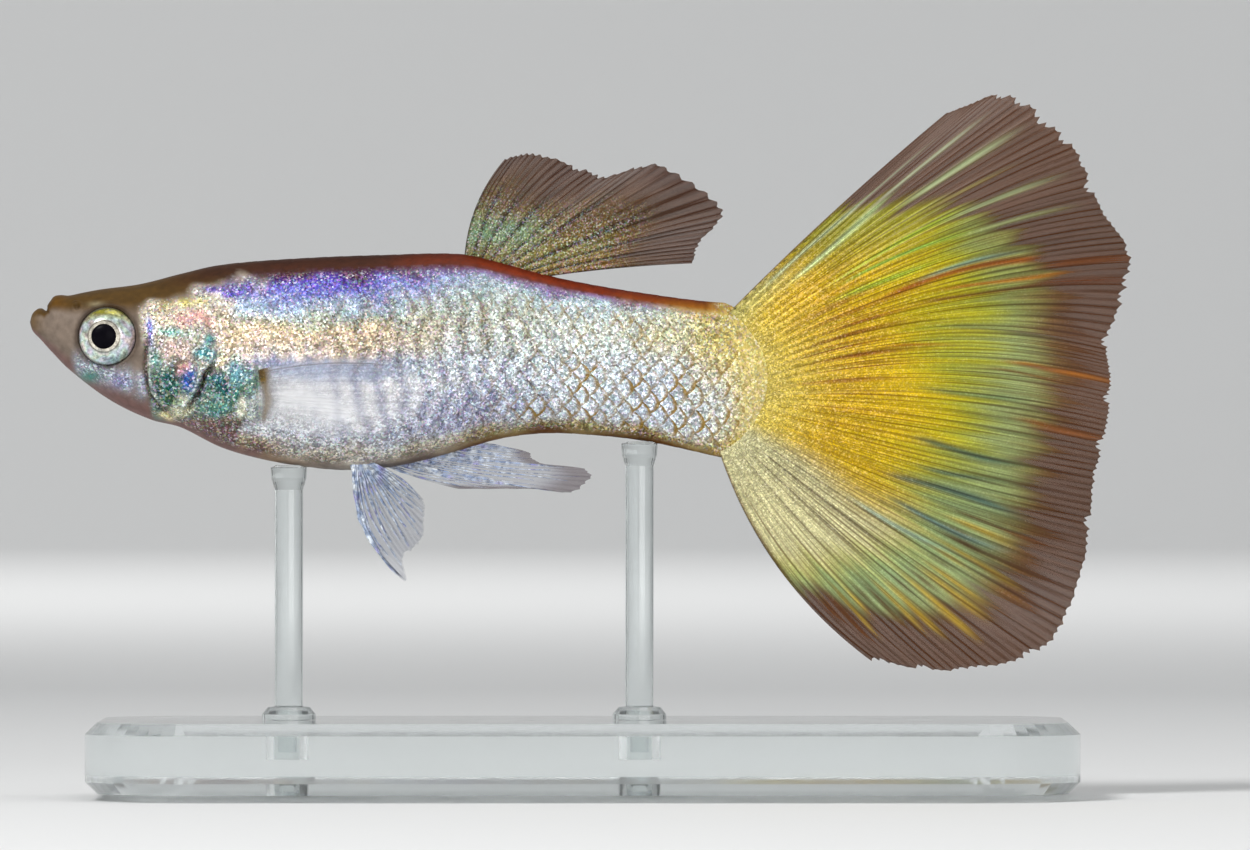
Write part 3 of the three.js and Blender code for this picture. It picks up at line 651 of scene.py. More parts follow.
def body_marks(along, height):
    """The body's colours, where it glitters and where its scales are netted, from its bands and patches."""
    depth = (back_at(along) - height) / np.maximum(back_at(along) - belly_at(along), 0.05)
    depth = np.clip(depth, 0, 1)
    uneven = 0.022 * wander(along * 2.2, height * 2.2, 11) * rise(0.05, 0.12, depth)
    fingers = 0.05 * np.abs(np.sin(np.pi * along / SCALE_PITCH)) * hump(0.45, 0.08, depth)
    band = np.clip(depth + uneven - fingers, 0, 1)
    onto_rear = rise(14.2, 20, along + 0.6 * wander(along, height, 8))
    tint = mix(colour_run(band, FRONT_BANDS), colour_run(band, REAR_BANDS), onto_rear)
    gold = laid(colour_run(band, GOLD_BANDS), ((210, 186, 84), rise(28.6, 30.4, along)))
    loose_along = along + 0.4 * (height + 1) + 0.9 * wander(along * 1.3, height * 1.3, 3)
    tint = mix(tint, gold, 0.92 * rise(26, 30, loose_along))
    lilac = hump(18.4, 2.6, along) * span(depth, 0.62, 0.8, 0.88, 0.92)
    silver = hump(27.2, 2.2, along) * span(depth, 0.3, 0.5, 0.84, 0.9)
    tint = laid(tint, ((140, 138, 214), 0.45 * lilac), ((206, 220, 244), 0.5 * silver))
    bend = 0.3 * wander(height * 1.4, along * 0.5, 53, waves=5)
    column = ripple((along + bend) / 0.93, 1.6) * span(along, 11, 14, 20.5, 23.5)
    column = column * span(depth, 0.15, 0.25, 0.82, 0.92)
    column_tint = laid(tone(116, 108, 84), ((104, 108, 150), rise(0.45, 0.6, depth)))
    tint = mix(tint, column_tint, 0.75 * column)
    shine = rise(0.06, 0.1, depth) * (1 - rise(0.945, 0.985, depth) * fall(28.6, 30, along))
    shine = np.maximum(shine, rise(28.8, 30, along)) * (1 - 0.4 * rise(29, 31, along))
    window = hump(12.6, 3.6, along) * span(depth, 0.45, 0.49, 0.72, 0.82) * rise(9.4, 9.9, along)
    shine = shine * (1 - 0.72 * window)
    tint = laid(tint, ((168, 132, 94), 0.7 * hump(9, 3, along) * rise(0.84, 0.92, depth)))
    head_end = np.interp(depth, [0.14, 0.2, 0.32, 0.46, 0.54], [9.2, 8.8, 8.4, 7.8, 9.7])
    loose_along = along + 0.5 * wander(along * 1.8, height * 1.8, 5)
    onto_head = fall(head_end - 0.5, head_end + 0.7, loose_along)
    tint = mix(tint, head_colours(along, height, depth), onto_head)
    bare = (1 - onto_cover(along, height)) * (1 - head_sparkle(along, height))
    crown = 1 - crown_edge(along, height, depth)
    shine = shine * (1 - np.maximum(bare, crown) * onto_head)
    net = 0.14 + 1.1 * span(along, 16, 26, 29.6, 31) * (0.55 + 0.45 * rise(0.4, 0.75, depth))
    net = net * span(depth, 0.1, 0.2, 0.9, 0.95) * (1 - window)
    net = net * (0.85 + 0.3 * wander(along, height, 29))
    return {"tint": tint, "shine": np.clip(shine, 0, 1), "net": np.clip(net, 0, 1), "window": window}


def onto_cover(along, height):
    """0 on the cheek, 1 on the gill cover and behind it."""
    return rise(4.75, 5.1, along + 0.12 * (height - 0.5))


def crown_edge(along, height, depth):
    """0 on the bare crown and back, 1 below it."""
    edge = 0.09 + 0.1 * fall(5, 9, along) + 0.035 * wander(along * 2.4, height * 2.4, 37)
    return rise(edge - 0.05, edge + 0.05, depth)


def head_sparkle(along, height):
    """The silver that shows under the eye."""
    below = hump(-0.62, 0.42, height + 0.32 * (along - 3.4)) * span(along, 1.7, 2.3, 4.8, 5.2)
    return np.clip(1.1 * below + 0.5 * below * wander(along * 3, height * 3, 41), 0, 1)


def head_colours(along, height, depth):
    """The head: olive crown, clear grey snout, silver cheek, and a gill cover of teal, pink and gold, with
    painted shade in the gill groove, the gill slit and round the eye socket, and painted highlights along
    the gill edges.
    """
    edge = 0.11 + 0.1 * fall(5.2, 9.2, along)
    tint = laid(
        tone(124, 110, 98),
        ((78, 56, 22), fall(-0.08, 0.08, depth - edge)),
        ((58, 32, 16), rise(4.5, 8, along) * fall(0.04, 0.14, depth)),
        ((92, 62, 18), 0.85 * hump(1.2, 0.4, along) * fall(0.1, 0.3, depth)),
        ((98, 74, 38), 0.85 * hump(0.0, 0.45, along)),
        ((150, 140, 110), 0.6 * spot(along, height, 2.9, 2.35, 0.35, 0.12)),
        ((126, 94, 88), rise(0.76, 0.95, depth)),
        ((186, 194, 210), head_sparkle(along, height)),
        ((60, 140, 126), 0.85 * spot(along, height, 2.6, -0.7, 0.5, 0.26)),
        ((126, 116, 196), 0.6 * spot(along, height, 3.9, -0.9, 0.4, 0.26)),
    )
    cover_tint = laid(tone(104, 134, 124), ((196, 184, 164), rise(-1.0, 0.2, height)))
    loose_along = along + 0.2 * wander(along * 2, height * 2, 17)
    loose_height = height + 0.16 * wander(along * 2, height * 2, 18)
    for *shape, colour, share in HEAD_PATCHES:
        patch = PATCH_GAIN * share * spot(loose_along, loose_height, *shape)
        cover_tint = laid(cover_tint, (colour, np.clip(patch, 0, 1)))
    cover = onto_cover(along, height) * rise(-2.75, -2.3, height)
    tint = mix(tint, cover_tint, cover * crown_edge(along, height, depth))
    ahead, behind = along - gill_front_at(height), along - gill_rear_at(height)
    # Painted shade: dark colour laid in the gill cover's front groove and its rear slit, where the relief
    # sinks.
    painted_groove_shade = hump(0, 0.12, ahead) * span(height, -2.5, -2.0, 0.5, 1.1)
    painted_slit_shade = hump(0.06, 0.12, behind) * span(height, -2.1, -1.8, -0.5, -0.1)
    # Painted highlights: pale dotted lines along the raised edges of the gill cover, beside the groove and
    # the slit.
    painted_edge_highlight = hump(-0.16, 0.07, behind) * span(height, -2.4, -2.0, 0.2, 0.7)
    painted_edge_highlight = painted_edge_highlight + hump(0.17, 0.06, ahead) * span(height, -2.3, -1.8, 0.4, 1.0)
    beads = 0.55 + 0.45 * np.sin(height * 14 + along * 9)
    # Painted shade: a dark ring on the socket wall round the eye, where the skin sinks into the socket.
    socket = hump(1.33, 0.1, np.hypot(along - EYE_ALONG, height - EYE_HEIGHT))
    return laid(
        tint,
        ((56, 24, 18), np.clip(0.85 * painted_groove_shade + 0.9 * painted_slit_shade, 0, 1)),
        ((232, 244, 240), np.clip(0.85 * painted_edge_highlight * beads, 0, 1)),
        ((44, 28, 18), 0.6 * socket),
    )


def make_skin(finish):
    """The one skin of head, trunk and tail stalk."""
    rings = STATIONS_HEAD + STATIONS_BODY
    mesh, u, v, _ = raw_grids(rings, SKIN_SIDES, 1)
    split = STATIONS_HEAD / rings
    head_share = np.clip(u / split, 0, 1)
    body_share = np.clip((u - split) / (1 - split), 0, 1)
    along_head = HEAD_END * (0.35 * head_share ** 2 + 0.65 * head_share)
    eased = 0.5 * (np.sin(0.5 * np.pi * body_share) + body_share)
    along = np.where(u < split, along_head, HEAD_END + (SKIN_END - HEAD_END) * eased)
    angle = 2 * np.pi * v
    places = body_point(along, angle)
    inner = np.clip(along, 0.03, SKIN_END - 0.03)
    side_share = np.clip(np.abs(np.sin(angle)) * 1.4, 0, 1)
    lift = np.where(along < HEAD_END, head_relief(along, places[:, 2], side_share), 0)
    places = places + body_normal(inner, angle) * lift[:, None]
    mesh.vertices.foreach_set("co", in_frame(places).astype(np.float32).ravel())
    marks = body_marks(along, places[:, 2])
    paint(mesh, {"tint": marks["tint"], "shine": marks["shine"]})
    lay_map(mesh, "skin", along / SKIN_END, v)
    sew(mesh, 2e-6)
    add_piece(mesh, "skin", finish, "body_skin", "head", "trunk", "tail_stalk")


# The scales

def even_girth(share):
    """The angle round the body at a share of the way from back to belly along the skin."""
    angles = np.linspace(0, np.pi, 200)
    steps = np.hypot(2.2 * np.cos(angles), 4.3 * np.sin(angles))
    travelled = np.concatenate([[0], np.cumsum((steps[1:] + steps[:-1]) / 2)])
    return np.interp(share, travelled / travelled[-1], angles)


def scale_roots():
    """Each scale's (along, share of the girth, side): every other row starts half a step on."""
    roots = []
    for side in (-1, 1):
        for row in range(SCALE_ROWS):
            share = (row + 0.5) / SCALE_ROWS
            along = SCALE_START + SCALE_PITCH * 0.5 * (row % 2)
            while along < SCALE_STOP:
                roots.append((along, share, side))
                along += SCALE_PITCH
    return np.array(roots)


def make_scales(finish):
    """Overlapping scales: thin rounded plates whose free rear edges lift off the skin and meet in a net."""
    template, u, v, layer = raw_grids(5, 6, 2)
    faces = np.array([list(face.vertices) for face in template.polygons])
    bpy.data.meshes.remove(template)
    roots = scale_roots()
    jitter = np.random.default_rng(7).uniform(-SCALE_JITTER, SCALE_JITTER, (len(roots), 1))
    along0 = roots[:, 0][:, None] + jitter
    share0, side = roots[:, 1][:, None], roots[:, 2][:, None]
    arc_depth = 0.5 * SCALE_PITCH / SCALE_LENGTH
    out = u * (1 - arc_depth * (2 * v - 1) ** 2)
    along = np.clip(along0 + SCALE_LENGTH * (out - 0.45), 0.5, SKIN_END - 0.02)
    width = SCALE_OVERLAP / SCALE_ROWS * (0.7 + 0.3 * rise(0, 0.4, u))
    angle = even_girth(np.clip(share0 + width * (v - 0.5), 0.004, 0.996)) * side
    flat = body_point(along, angle)
    marks = body_marks(along, flat[..., 2])
    rim = np.where((u > 0.99) | (u < 0.01) | (v < 0.01) | (v > 0.99), 0, 1)
    lift = -SCALE_SINK + (SCALE_LIFT + SCALE_SINK) * out ** 1.5 * (1 - 0.7 * marks["window"])
    lift = lift * (1 - 0.85 * rise(28, 30.8, along))
    lift = lift + np.where(layer > 0.5, 0.5, -0.5) * SCALE_THICKNESS * rim
    outward = body_normal(np.clip(along, 0.1, SKIN_END - 0.1), angle)
    places = flat + outward * lift[..., None]
    from_end = places[..., (0, 2)] - np.array(STALK_END_CENTRE)
    from_end = np.linalg.norm(from_end, axis=-1).max(1)
    on_shoulder = (roots[:, 0] < PECTORAL_EDGE + 0.35) & (flat[..., 2].mean(1) < 0.25)
    keep = ((roots[:, 0] < STALK_END_CENTRE[0]) | (from_end < STALK_END_RADIUS - 0.1)) & ~on_shoulder
    count, size = int(keep.sum()), len(u)
    joined = np.concatenate([faces + size * index for index in range(count)])
    mesh = bpy.data.meshes.new("scales")
    mesh.from_pydata(in_frame(places[keep].reshape(-1, 3)), [], joined.tolist())
    paint(mesh, {
        "tint": marks["tint"][keep].reshape(-1, 3),
        "shine": marks["shine"][keep].ravel(),
        "net": marks["net"][keep].ravel(),
    })
    root_u = along0[keep] / SKIN_END + BAKE_PATCH * (u - 0.5)
    root_v = 0.5 + 0.49 * (share0 * side)[keep] + BAKE_PATCH * (v - 0.5)
    lay_map(mesh, "OFBake", root_u.ravel(), root_v.ravel())
    lay_map(mesh, "plate", np.tile(u, count), np.tile(v, count))
    sew(mesh, 5e-7)
    add_piece(mesh, "scales", finish, "body_skin")


# The fins

def stalk_end(share, gap):
    """A place on the tail stalk's rounded end, or further out by a gap."""
    angle = STALK_END_TOP + (STALK_END_BOTTOM - STALK_END_TOP) * share
    radius = STALK_END_RADIUS + gap
    return STALK_END_CENTRE[0] + radius * np.cos(angle), STALK_END_CENTRE[1] + radius * np.sin(angle)


class Fin:
    """A fin spread between guide rays: each gives its tip's along and height, and its bow to the left."""

    def __init__(self, guides, root, across, ragged, rays):
        shares = np.linspace(0, 1, len(guides))
        self.tip_along, self.tip_height, self.bow = (
            smooth_line(list(zip(shares, column))) for column in zip(*guides)
        )
        self.root, self.across, self.ragged, self.rays = root, across, ragged, rays
        self.notches = np.random.default_rng(rays).uniform(0.1, 1, rays * 8 + 2)
        self.notches[np.random.default_rng(rays + 1).integers(0, len(self.notches), rays)] = 1.9

    def place(self, u, v):
        root = np.stack(self.root(u), -1)
        tip = np.stack([self.tip_along(u), self.tip_height(u)], -1)
        fine = u * self.rays * 4
        depth = np.interp(fine, np.arange(len(self.notches)), self.notches)
        fork = 1 - ripple(fine)
        tip = tip - (tip - root) * (self.ragged * depth * (0.35 + 0.65 * fork))[..., None]
        run = tip - root
        bend = np.stack([-run[..., 1], run[..., 0]], -1)
        bend = bend / np.maximum(np.linalg.norm(bend, axis=-1, keepdims=True), 1e-6)
        middle = (root + tip) / 2 + bend * self.bow(u)[..., None]
        t = v[..., None]
        flat = (1 - t) ** 2 * root + 2 * t * (1 - t) * middle + t * t * tip
        return np.stack([flat[..., 0], self.across(u, v), flat[..., 1]], -1)

    def ridge(self, u, v):
        """How far the rays stand out, from 0 to 1: each ray forks twice on its way to the margin."""
        first, second = rise(0.25, 0.45, v), rise(0.5, 0.7, v)
        forks = ((1, 1 - first), (2, first * (1 - second)), (4, second))
        return sum(share * (1 - ripple(u * self.rays * fork)) ** 0.7 for fork, share in forks)

    def make(
        self, node, columns, rows, marks, finish, slot,
        root_half=0.1, margin_half=0.025, ridge_rise=0.05,
    ):
        """A closed membrane, thick at its root and thin at its margin, with the rays raised in it."""
        mesh, u, v, layer = raw_grids(columns, rows, 2)
        from_edge = np.minimum(np.minimum(u, 1 - u) * columns, np.minimum(v, 1 - v) * rows)
        half = root_half + (margin_half - root_half) * v ** 0.6
        half = half + ridge_rise * rise(0, 0.12, v) * self.ridge(u, v) * (1 - 0.6 * v)
        places = self.place(u, v)
        places[:, 1] += np.where(layer > 0.5, 1, -1) * half * np.clip(from_edge, 0, 1)
        mesh.vertices.foreach_set("co", in_frame(places).astype(np.float32).ravel())
        paint(mesh, marks(u, v, places, self))
        lay_map(mesh, "fin", u, v)
        sew(mesh)
        add_piece(mesh, f"{node}_piece", finish, slot, node)

    def strands(self, name, rays, finish, slot, steps=18):
        """Tapering rays in the fin as one mesh: each has its share, reach, thickness in mm and swelling."""
        curve = bpy.data.curves.new(name, "CURVE")
        curve.dimensions = "3D"
        curve.bevel_depth = MM
        curve.bevel_resolution = 1
        curve.use_fill_caps = True
        out = np.linspace(0, 1, steps)
        for share, reach, thickness, swelling in rays:
            shares = np.clip(share + 0.012 * np.sin(9 * out + 40 * share) * out, 0, 1)
            points = in_frame(self.place(shares, reach * out))
            uneven = 0.35 * np.sin(23 * out + 70 * share) * (1 - out)
            radii = np.maximum(thickness * (1 - 0.75 * out + uneven) / 2, 0.1 * thickness)
            radii = radii * (1 + swelling * hump(0.66, 0.16, out))
            spline = curve.splines.new("POLY")
            spline.points.add(steps - 1)
            for point, place, radius in zip(spline.points, points, radii):
                point.co = (*place, 1)
                point.radius = radius
        carrier = bpy.data.objects.new(name, curve)
        mesh = bpy.data.meshes.new_from_object(carrier)
        mesh.materials.clear()
        bpy.data.objects.remove(carrier)
        add_piece(mesh, name, finish, slot)


# Streaks of the tail fin: place across the fin, width, start, stop, colour and strength
TAIL_STREAKS = [
    (0.045, 0.012, 0.1, 0.75, (172, 190, 150), 0.8), (0.1, 0.012, 0.15, 0.85, (186, 212, 150), 0.85),
    (0.2, 0.008, 0.2, 0.7, (160, 200, 60), 0.7), (0.235, 0.006, 0.25, 0.7, (130, 204, 84), 0.75),
    (0.27, 0.01, 0.2, 0.6, (176, 220, 60), 0.8), (0.31, 0.01, 0.3, 0.95, (168, 80, 6), 0.9),
    (0.335, 0.005, 0.45, 1.0, (196, 116, 10), 0.85), (0.35, 0.006, 0.4, 1.0, (120, 60, 10), 0.8),
    (0.3, 0.005, 0.42, 0.8, (150, 190, 170), 0.8), (0.42, 0.008, 0.5, 0.95, (110, 120, 80), 0.6),
    (0.5, 0.008, 0.66, 1.05, (196, 120, 12), 0.85), (0.515, 0.005, 0.6, 1.0, (112, 66, 14), 0.8),
    (0.455, 0.006, 0.3, 0.62, (180, 96, 6), 0.7), (0.56, 0.008, 0.42, 0.85, (84, 116, 84), 0.6),
    (0.6, 0.008, 0.7, 1.0, (150, 84, 20), 0.8), (0.65, 0.008, 0.42, 0.85, (64, 104, 92), 0.8),
    (0.685, 0.006, 0.45, 0.8, (60, 90, 84), 0.8), (0.72, 0.01, 0.36, 0.88, (60, 96, 100), 0.8),
    (0.765, 0.007, 0.4, 0.85, (70, 104, 116), 0.8), (0.8, 0.006, 0.3, 0.7, (150, 190, 180), 0.7),
]
STREAK_SHADE = 0.8
# Pale and rusty streaks that run out over the clear edge
CLEAR_STREAKS = [
    (0.05, 0.006, 0.4, 0.85, (176, 180, 150), 0.8), (0.085, 0.005, 0.45, 0.95, (190, 200, 160), 0.85),
    (0.125, 0.006, 0.5, 0.98, (190, 206, 150), 0.9), (0.16, 0.004, 0.5, 0.9, (160, 150, 80), 0.7),
    (0.2, 0.006, 0.55, 0.98, (190, 206, 150), 0.8), (0.245, 0.005, 0.6, 0.98, (176, 190, 130), 0.8),
    (0.325, 0.006, 0.7, 1.1, (130, 70, 20), 0.9), (0.35, 0.005, 0.7, 1.1, (110, 60, 30), 0.8),
    (0.5, 0.007, 0.75, 1.1, (176, 104, 16), 0.9), (0.6, 0.006, 0.75, 1.1, (150, 84, 20), 0.8),
]
CLEAR_STREAK_SHADE, CLEAR_STREAK_WIDTH = 0.75, 0.7
# Where the tail fin turns clear, from its top edge to its bottom edge
CLEAR_PLACES = [0, 0.06, 0.12, 0.2, 0.3, 0.42, 0.6, 0.8, 0.9, 1]
CLEAR_EDGE = [0.46, 0.5, 0.56, 0.66, 0.76, 0.83, 0.84, 0.8, 0.76, 0.62]
TAIL_BANDS = [
    (0, (208, 186, 88)), (0.1, (208, 180, 64)), (0.22, (208, 168, 20)), (0.4, (204, 172, 6)),
    (0.52, (184, 168, 14)), (0.6, (156, 156, 40)), (0.7, (134, 142, 76)), (0.8, (124, 116, 62)),
    (0.88, (104, 74, 38)), (1, (88, 56, 32)),
]
DORSAL_BANDS = [
    (0, (126, 106, 52)), (0.25, (128, 118, 60)), (0.5, (110, 84, 42)), (0.75, (90, 62, 42)),
    (1, (82, 54, 40)),
]


def tail_marks(u, v, places, fin):
    """The tail fin's colours: a gold heart, green-gold round it, grey-green outside, a dusky edge."""
    patchy = wander(places[:, 0] * 0.6, places[:, 2] * 0.6, 23)
    spiky = np.sin(173 * u) + 0.7 * np.sin(411 * u + 1) + 0.6 * np.sin(257 * u + 2)
    loose_u, loose_v = u + 0.02 * patchy, v + 0.02 * spiky
    upper, lower = fall(0.1, 0.3, loose_u), rise(0.72, 0.84, loose_u)
    tint = laid(
        colour_run(loose_v + 0.035 * patchy, TAIL_BANDS),
        ((132, 132, 34), 0.85 * upper * span(v, 0.15, 0.4, 0.6, 0.85)),
        ((176, 172, 100), 0.7 * fall(0.04, 0.16, u) * fall(0.15, 0.3, v)),
        ((134, 148, 100), 0.5 * rise(0.38, 0.46, u) * hump(0.74, 0.09, loose_v)),
        ((200, 196, 150), 0.9 * lower * fall(0.4, 0.62, loose_v)),
        ((136, 164, 118), 0.75 * rise(0.62, 0.8, u) * hump(0.62, 0.12, loose_v)),
        ((104, 66, 20), 0.75 * rise(0.7, 0.78, u) * hump(0.86, 0.1, loose_v)),
    )
    for centre, width, start, stop, colour, share in TAIL_STREAKS:
        streak = hump(centre + 0.006 * np.sin(9 * v + 60 * centre), width * (1.0 - 0.6 * v), u)
        streak = streak * span(v, start, start + 0.12, stop - 0.2, stop)
        tint = mix(tint, STREAK_SHADE * tone(*colour), share * streak)
    crease = (1 - ripple((u + 0.004 * spiky) * 27)) ** 3
    roots = hump(0.26, 0.13, v + 0.03 * np.sin(49 * u)) * hump(0.42, 0.22, u) * crease
    bare = hump(0.84, 0.1, u) * span(v, 0.04, 0.12, 0.45, 0.62)
    seams = ripple((u - 0.74) / 0.036, 14) * rise(0.72, 0.76, u)
    clear_from = np.interp(u, CLEAR_PLACES, CLEAR_EDGE) + 0.032 * spiky + 0.03 * patchy
    clear = rise(clear_from - 0.06, clear_from + 0.08, v)
    tint = laid(tint, ((140, 70, 4), 0.85 * roots), ((84, 66, 40), 0.9 * bare * seams))
    tint = laid(tint, ((92, 58, 34), clear))
    for centre, width, start, stop, colour, share in CLEAR_STREAKS:
        streak = share * hump(centre, CLEAR_STREAK_WIDTH * width, u)
        streak = streak * span(v, start, start + 0.15, stop - 0.2, stop)
        tint = mix(tint, CLEAR_STREAK_SHADE * tone(*colour), streak)
        clear = clear * (1 - 0.7 * streak)
    draw = np.random.default_rng(31)
    for centre in np.arange(0.745, 0.985, 0.0125):
        reach, width = draw.uniform(0.72, 0.97), draw.uniform(0.0022, 0.005)
        tip = hump(centre + 0.004 * np.sin(8 * v), width, u) * span(v, 0.55, 0.68, reach - 0.12, reach)
        tint = laid(tint, ((176, 146, 44) if draw.random() < 0.6 else (92, 52, 14), 0.85 * tip))
        clear = clear * (1 - 0.9 * tip)
    edge = fall(0.0, 0.012, np.minimum(u, 1 - u))
    specks = hump(0.012, 0.006, u) * ripple(v / 0.045, 4) * rise(0.02, 0.05, v) * (v < 0.4)
    tint = laid(tint, ((96, 56, 20), 0.8 * edge * (1 - clear)), ((26, 20, 14), specks))
    sparkle = (0.75 - 0.6 * rise(0.05, 0.7, v)) * (1 - clear)
    lines = mix(0.35 + 0.65 * rise(0.08, 0.4, v), 0.6, clear)
    return {"tint": tint, "solid": 1 - 0.32 * clear, "shine": sparkle, "lines": lines}


def dorsal_marks(u, v, places, fin):
    """The dorsal fin: olive-gold glitter at its root and a clear dusky rose edge."""
    loose = v + 0.05 * wander(places[:, 0], places[:, 2], 27)
    tint = laid(
        colour_run(loose, DORSAL_BANDS),
        ((116, 150, 116), 0.75 * hump(0.26, 0.2, loose) * fall(0.3, 0.65, u)),
        ((132, 96, 38), 0.7 * rise(0.7, 0.95, u) * fall(0.3, 0.75, v)),
        ((40, 26, 18), 0.85 * ripple(u * fin.rays, 4) * fall(0.5, 0.9, v)),
    )
    solid = mix(0.97, 0.66, rise(0.42, 0.85, loose))
    lines = 0.4 + 0.5 * rise(0.3, 0.7, v)
    return {"tint": tint, "solid": solid, "shine": 0.8 * fall(0.42, 0.82, loose), "lines": lines}


def belly_marks(u, v, places, fin):
    """The clear membrane of the anal fin, duskier at its tip."""
    dusky = rise(0.72, 0.92, v)
    tint = laid(tone(104, 104, 132), ((92, 76, 84), dusky))
    return {"tint": tint, "solid": 0.1 + 0.3 * dusky, "shine": 0.2 * (1 - v), "lines": 0.3}


def pelvic_marks(u, v, places, fin):
    """The clear membrane between the pelvic fin's strands."""
    tint = np.broadcast_to(tone(96, 104, 130), (len(u), 3))
    return {"tint": tint, "solid": 0.07, "shine": 0.1 * (1 - v), "lines": 0.3}


def pectoral_marks(u, v, places, fin):
    """A pectoral fin: clear, with an olive-brown patch and a fading yellow-brown band at its root, and a
    painted white sheen across its middle.
    """
    patch = hump(0.0, 0.075, v) * hump(0.05, 0.16, u)
    band = hump(0.05, 0.032, v + 0.01 * np.sin(9 * u)) * fall(0.8, 1.0, u)
    root = np.clip(patch + 0.75 * band, 0, 1)
    ray = ripple(u * fin.rays, 8)
    front_ray = hump(0.05, 0.012, u - 0.02 * v) * fall(0.75, 0.9, v)
    # Painted sheen: a white gloss reflection painted across the fin's middle, which also makes the fin more
    # solid there.
    sheen = hump(0.55, 0.2, u + 0.1 * np.sin(7 * v)) * span(v, 0.06, 0.16, 0.5, 0.9)
    tint = laid(
        tone(206, 208, 216),
        ((140, 112, 52), root),
        ((92, 68, 36), patch),
        ((120, 118, 128), 0.7 * ray * (1 - root)),
        ((80, 70, 74), 0.8 * front_ray * (1 - root)),
        ((250, 250, 250), 0.7 * sheen),
    )
    solid = 0.1 + 0.7 * root + 0.16 * ray * (1 - 0.6 * v) + 0.24 * sheen + 0.4 * front_ray
    solid = np.clip(solid * rise(-0.01, 0.015, v), 0, 1)
    return {"tint": tint, "solid": solid, "shine": 0.25 * root, "lines": 0.3}


# Guide rays of the fins, from the front or top ray on: (tip along, tip height, bow)
TAIL_GUIDES = [
    (39.0, 10.55, 0.33), (41.7, 11.3, 0.29), (44.3, 9.2, 1.05), (45.5, 6.6, 1.8), (46.9, 4.1, 1.75),
    (45.9, 0.8, 2.3), (46.0, -0.9, 1.8), (45.8, -2.9, 1.0), (45.25, -5.45, -0.35), (44.9, -8.5, -0.9),
    (43.3, -12.2, -0.3), (39.5, -13.2, -0.6), (35.8, -12.85, -1.85),
]
DORSAL_GUIDES = [
    (20.2, 8.6, 0.8), (21.45, 8.85, 0.58), (23.15, 8.3, 0.68), (24.65, 7.9, 0.22), (26.85, 8.33, 0.04),
    (29.5, 6.5, 0.28), (28.6, 5.1, 0.31), (28.15, 4.1, 0.2),
]
ANAL_GUIDES = [
    (18.3, -5.5, -0.19), (21.7, -5.5, -0.36), (23.1, -5.65, -0.23), (23.85, -5.05, -0.3),
    (23.6, -4.62, -0.2), (21.9, -4.42, -0.15), (21.4, -4.18, -0.04), (21.3, -3.98, 0.02),
    (21.0, -3.85, 0.05),
]
PELVIC_GUIDES = [
    (14.1, -7.1, -0.08), (15.95, -9.5, -1.4), (15.85, -8.4, -0.5), (16.6, -7.85, 0), (16.8, -6.6, 0),
    (16.75, -5.95, 0.35),
]
PECTORAL_GUIDES = [
    (15.7, -0.1, 0.6), (16.75, -0.75, 0.47), (16.9, -1.6, 0.04), (16.35, -2.45, 0), (14.9, -3.15, 0),
    (12.75, -3.35, 0),
]
ROOT_SINK = 0.3
TAIL_ROOT_SINK = 0.6
FOLD_HEIGHT, FOLDS = 0.75, 2.6
FIN_GRAIN, BELLY_FIN_GRAIN = 0.06 * MM, 0.07 * MM


def root_on(line, start, length, sink):
    """A fin's root along the back or the belly line."""
    def root(u):
        along = start + length * u
        return along, line(along) + sink

    return root


def uneven_strands(shares, reach, thickness):
    """Strands at shares of a fin; reach and thickness are each (middle, swing, turn)."""
    def swung(share, middle, swing, turn):
        return middle + swing * math.sin(turn * share)

    return [(share, swung(share, *reach), swung(share, *thickness), 0) for share in shares]


def make_tail_fin():
    def across(u, v):
        return FOLD_HEIGHT * v ** 1.6 * np.sin(2 * np.pi * (FOLDS * u + 0.25 * v))

    fin = Fin(TAIL_GUIDES, lambda u: stalk_end(u, -TAIL_ROOT_SINK), across, 0.02, 30)
    shade = (0.4, 0.32, 0.3, 1)
    finish = fin_finish("tail_fin_membrane", 120, 300, shade, FIN_GRAIN, hues=0.06, painted_glints=0.15)
    fin.make(
        "tail_fin", 360, 90, tail_marks, finish, "tail_fin_membrane", root_half=0.22, ridge_rise=0.045,
    )


def make_dorsal_fin():
    def across(u, v):
        return 0.5 * v ** 2 * np.sin(np.pi * (1.5 * u + 0.1))

    fin = Fin(DORSAL_GUIDES, root_on(back_at, 18.45, 2.95, -ROOT_SINK), across, 0.035, 9)
    finish = fin_finish("dorsal_fin_membrane", 36, 110, (0.32, 0.27, 0.26, 1), FIN_GRAIN, hues=0.2)
    fin.make("dorsal_fin", 160, 60, dorsal_marks, finish, "dorsal_fin_membrane")


def make_anal_fin(membrane, strands):
    fin = Fin(ANAL_GUIDES, root_on(belly_at, 14.6, 4.1, ROOT_SINK), lambda u, v: 0 * v, 0.05, 6)
    fin.make("anal_fin", 72, 40, belly_marks, membrane, "belly_fin_membrane")
    rays = uneven_strands(np.linspace(0.02, 0.98, 24), (0.84, 0.12, 37), (0.1, 0.05, 61))
    fin.strands("anal_fin_rays", rays, strands, "belly_fin_membrane")


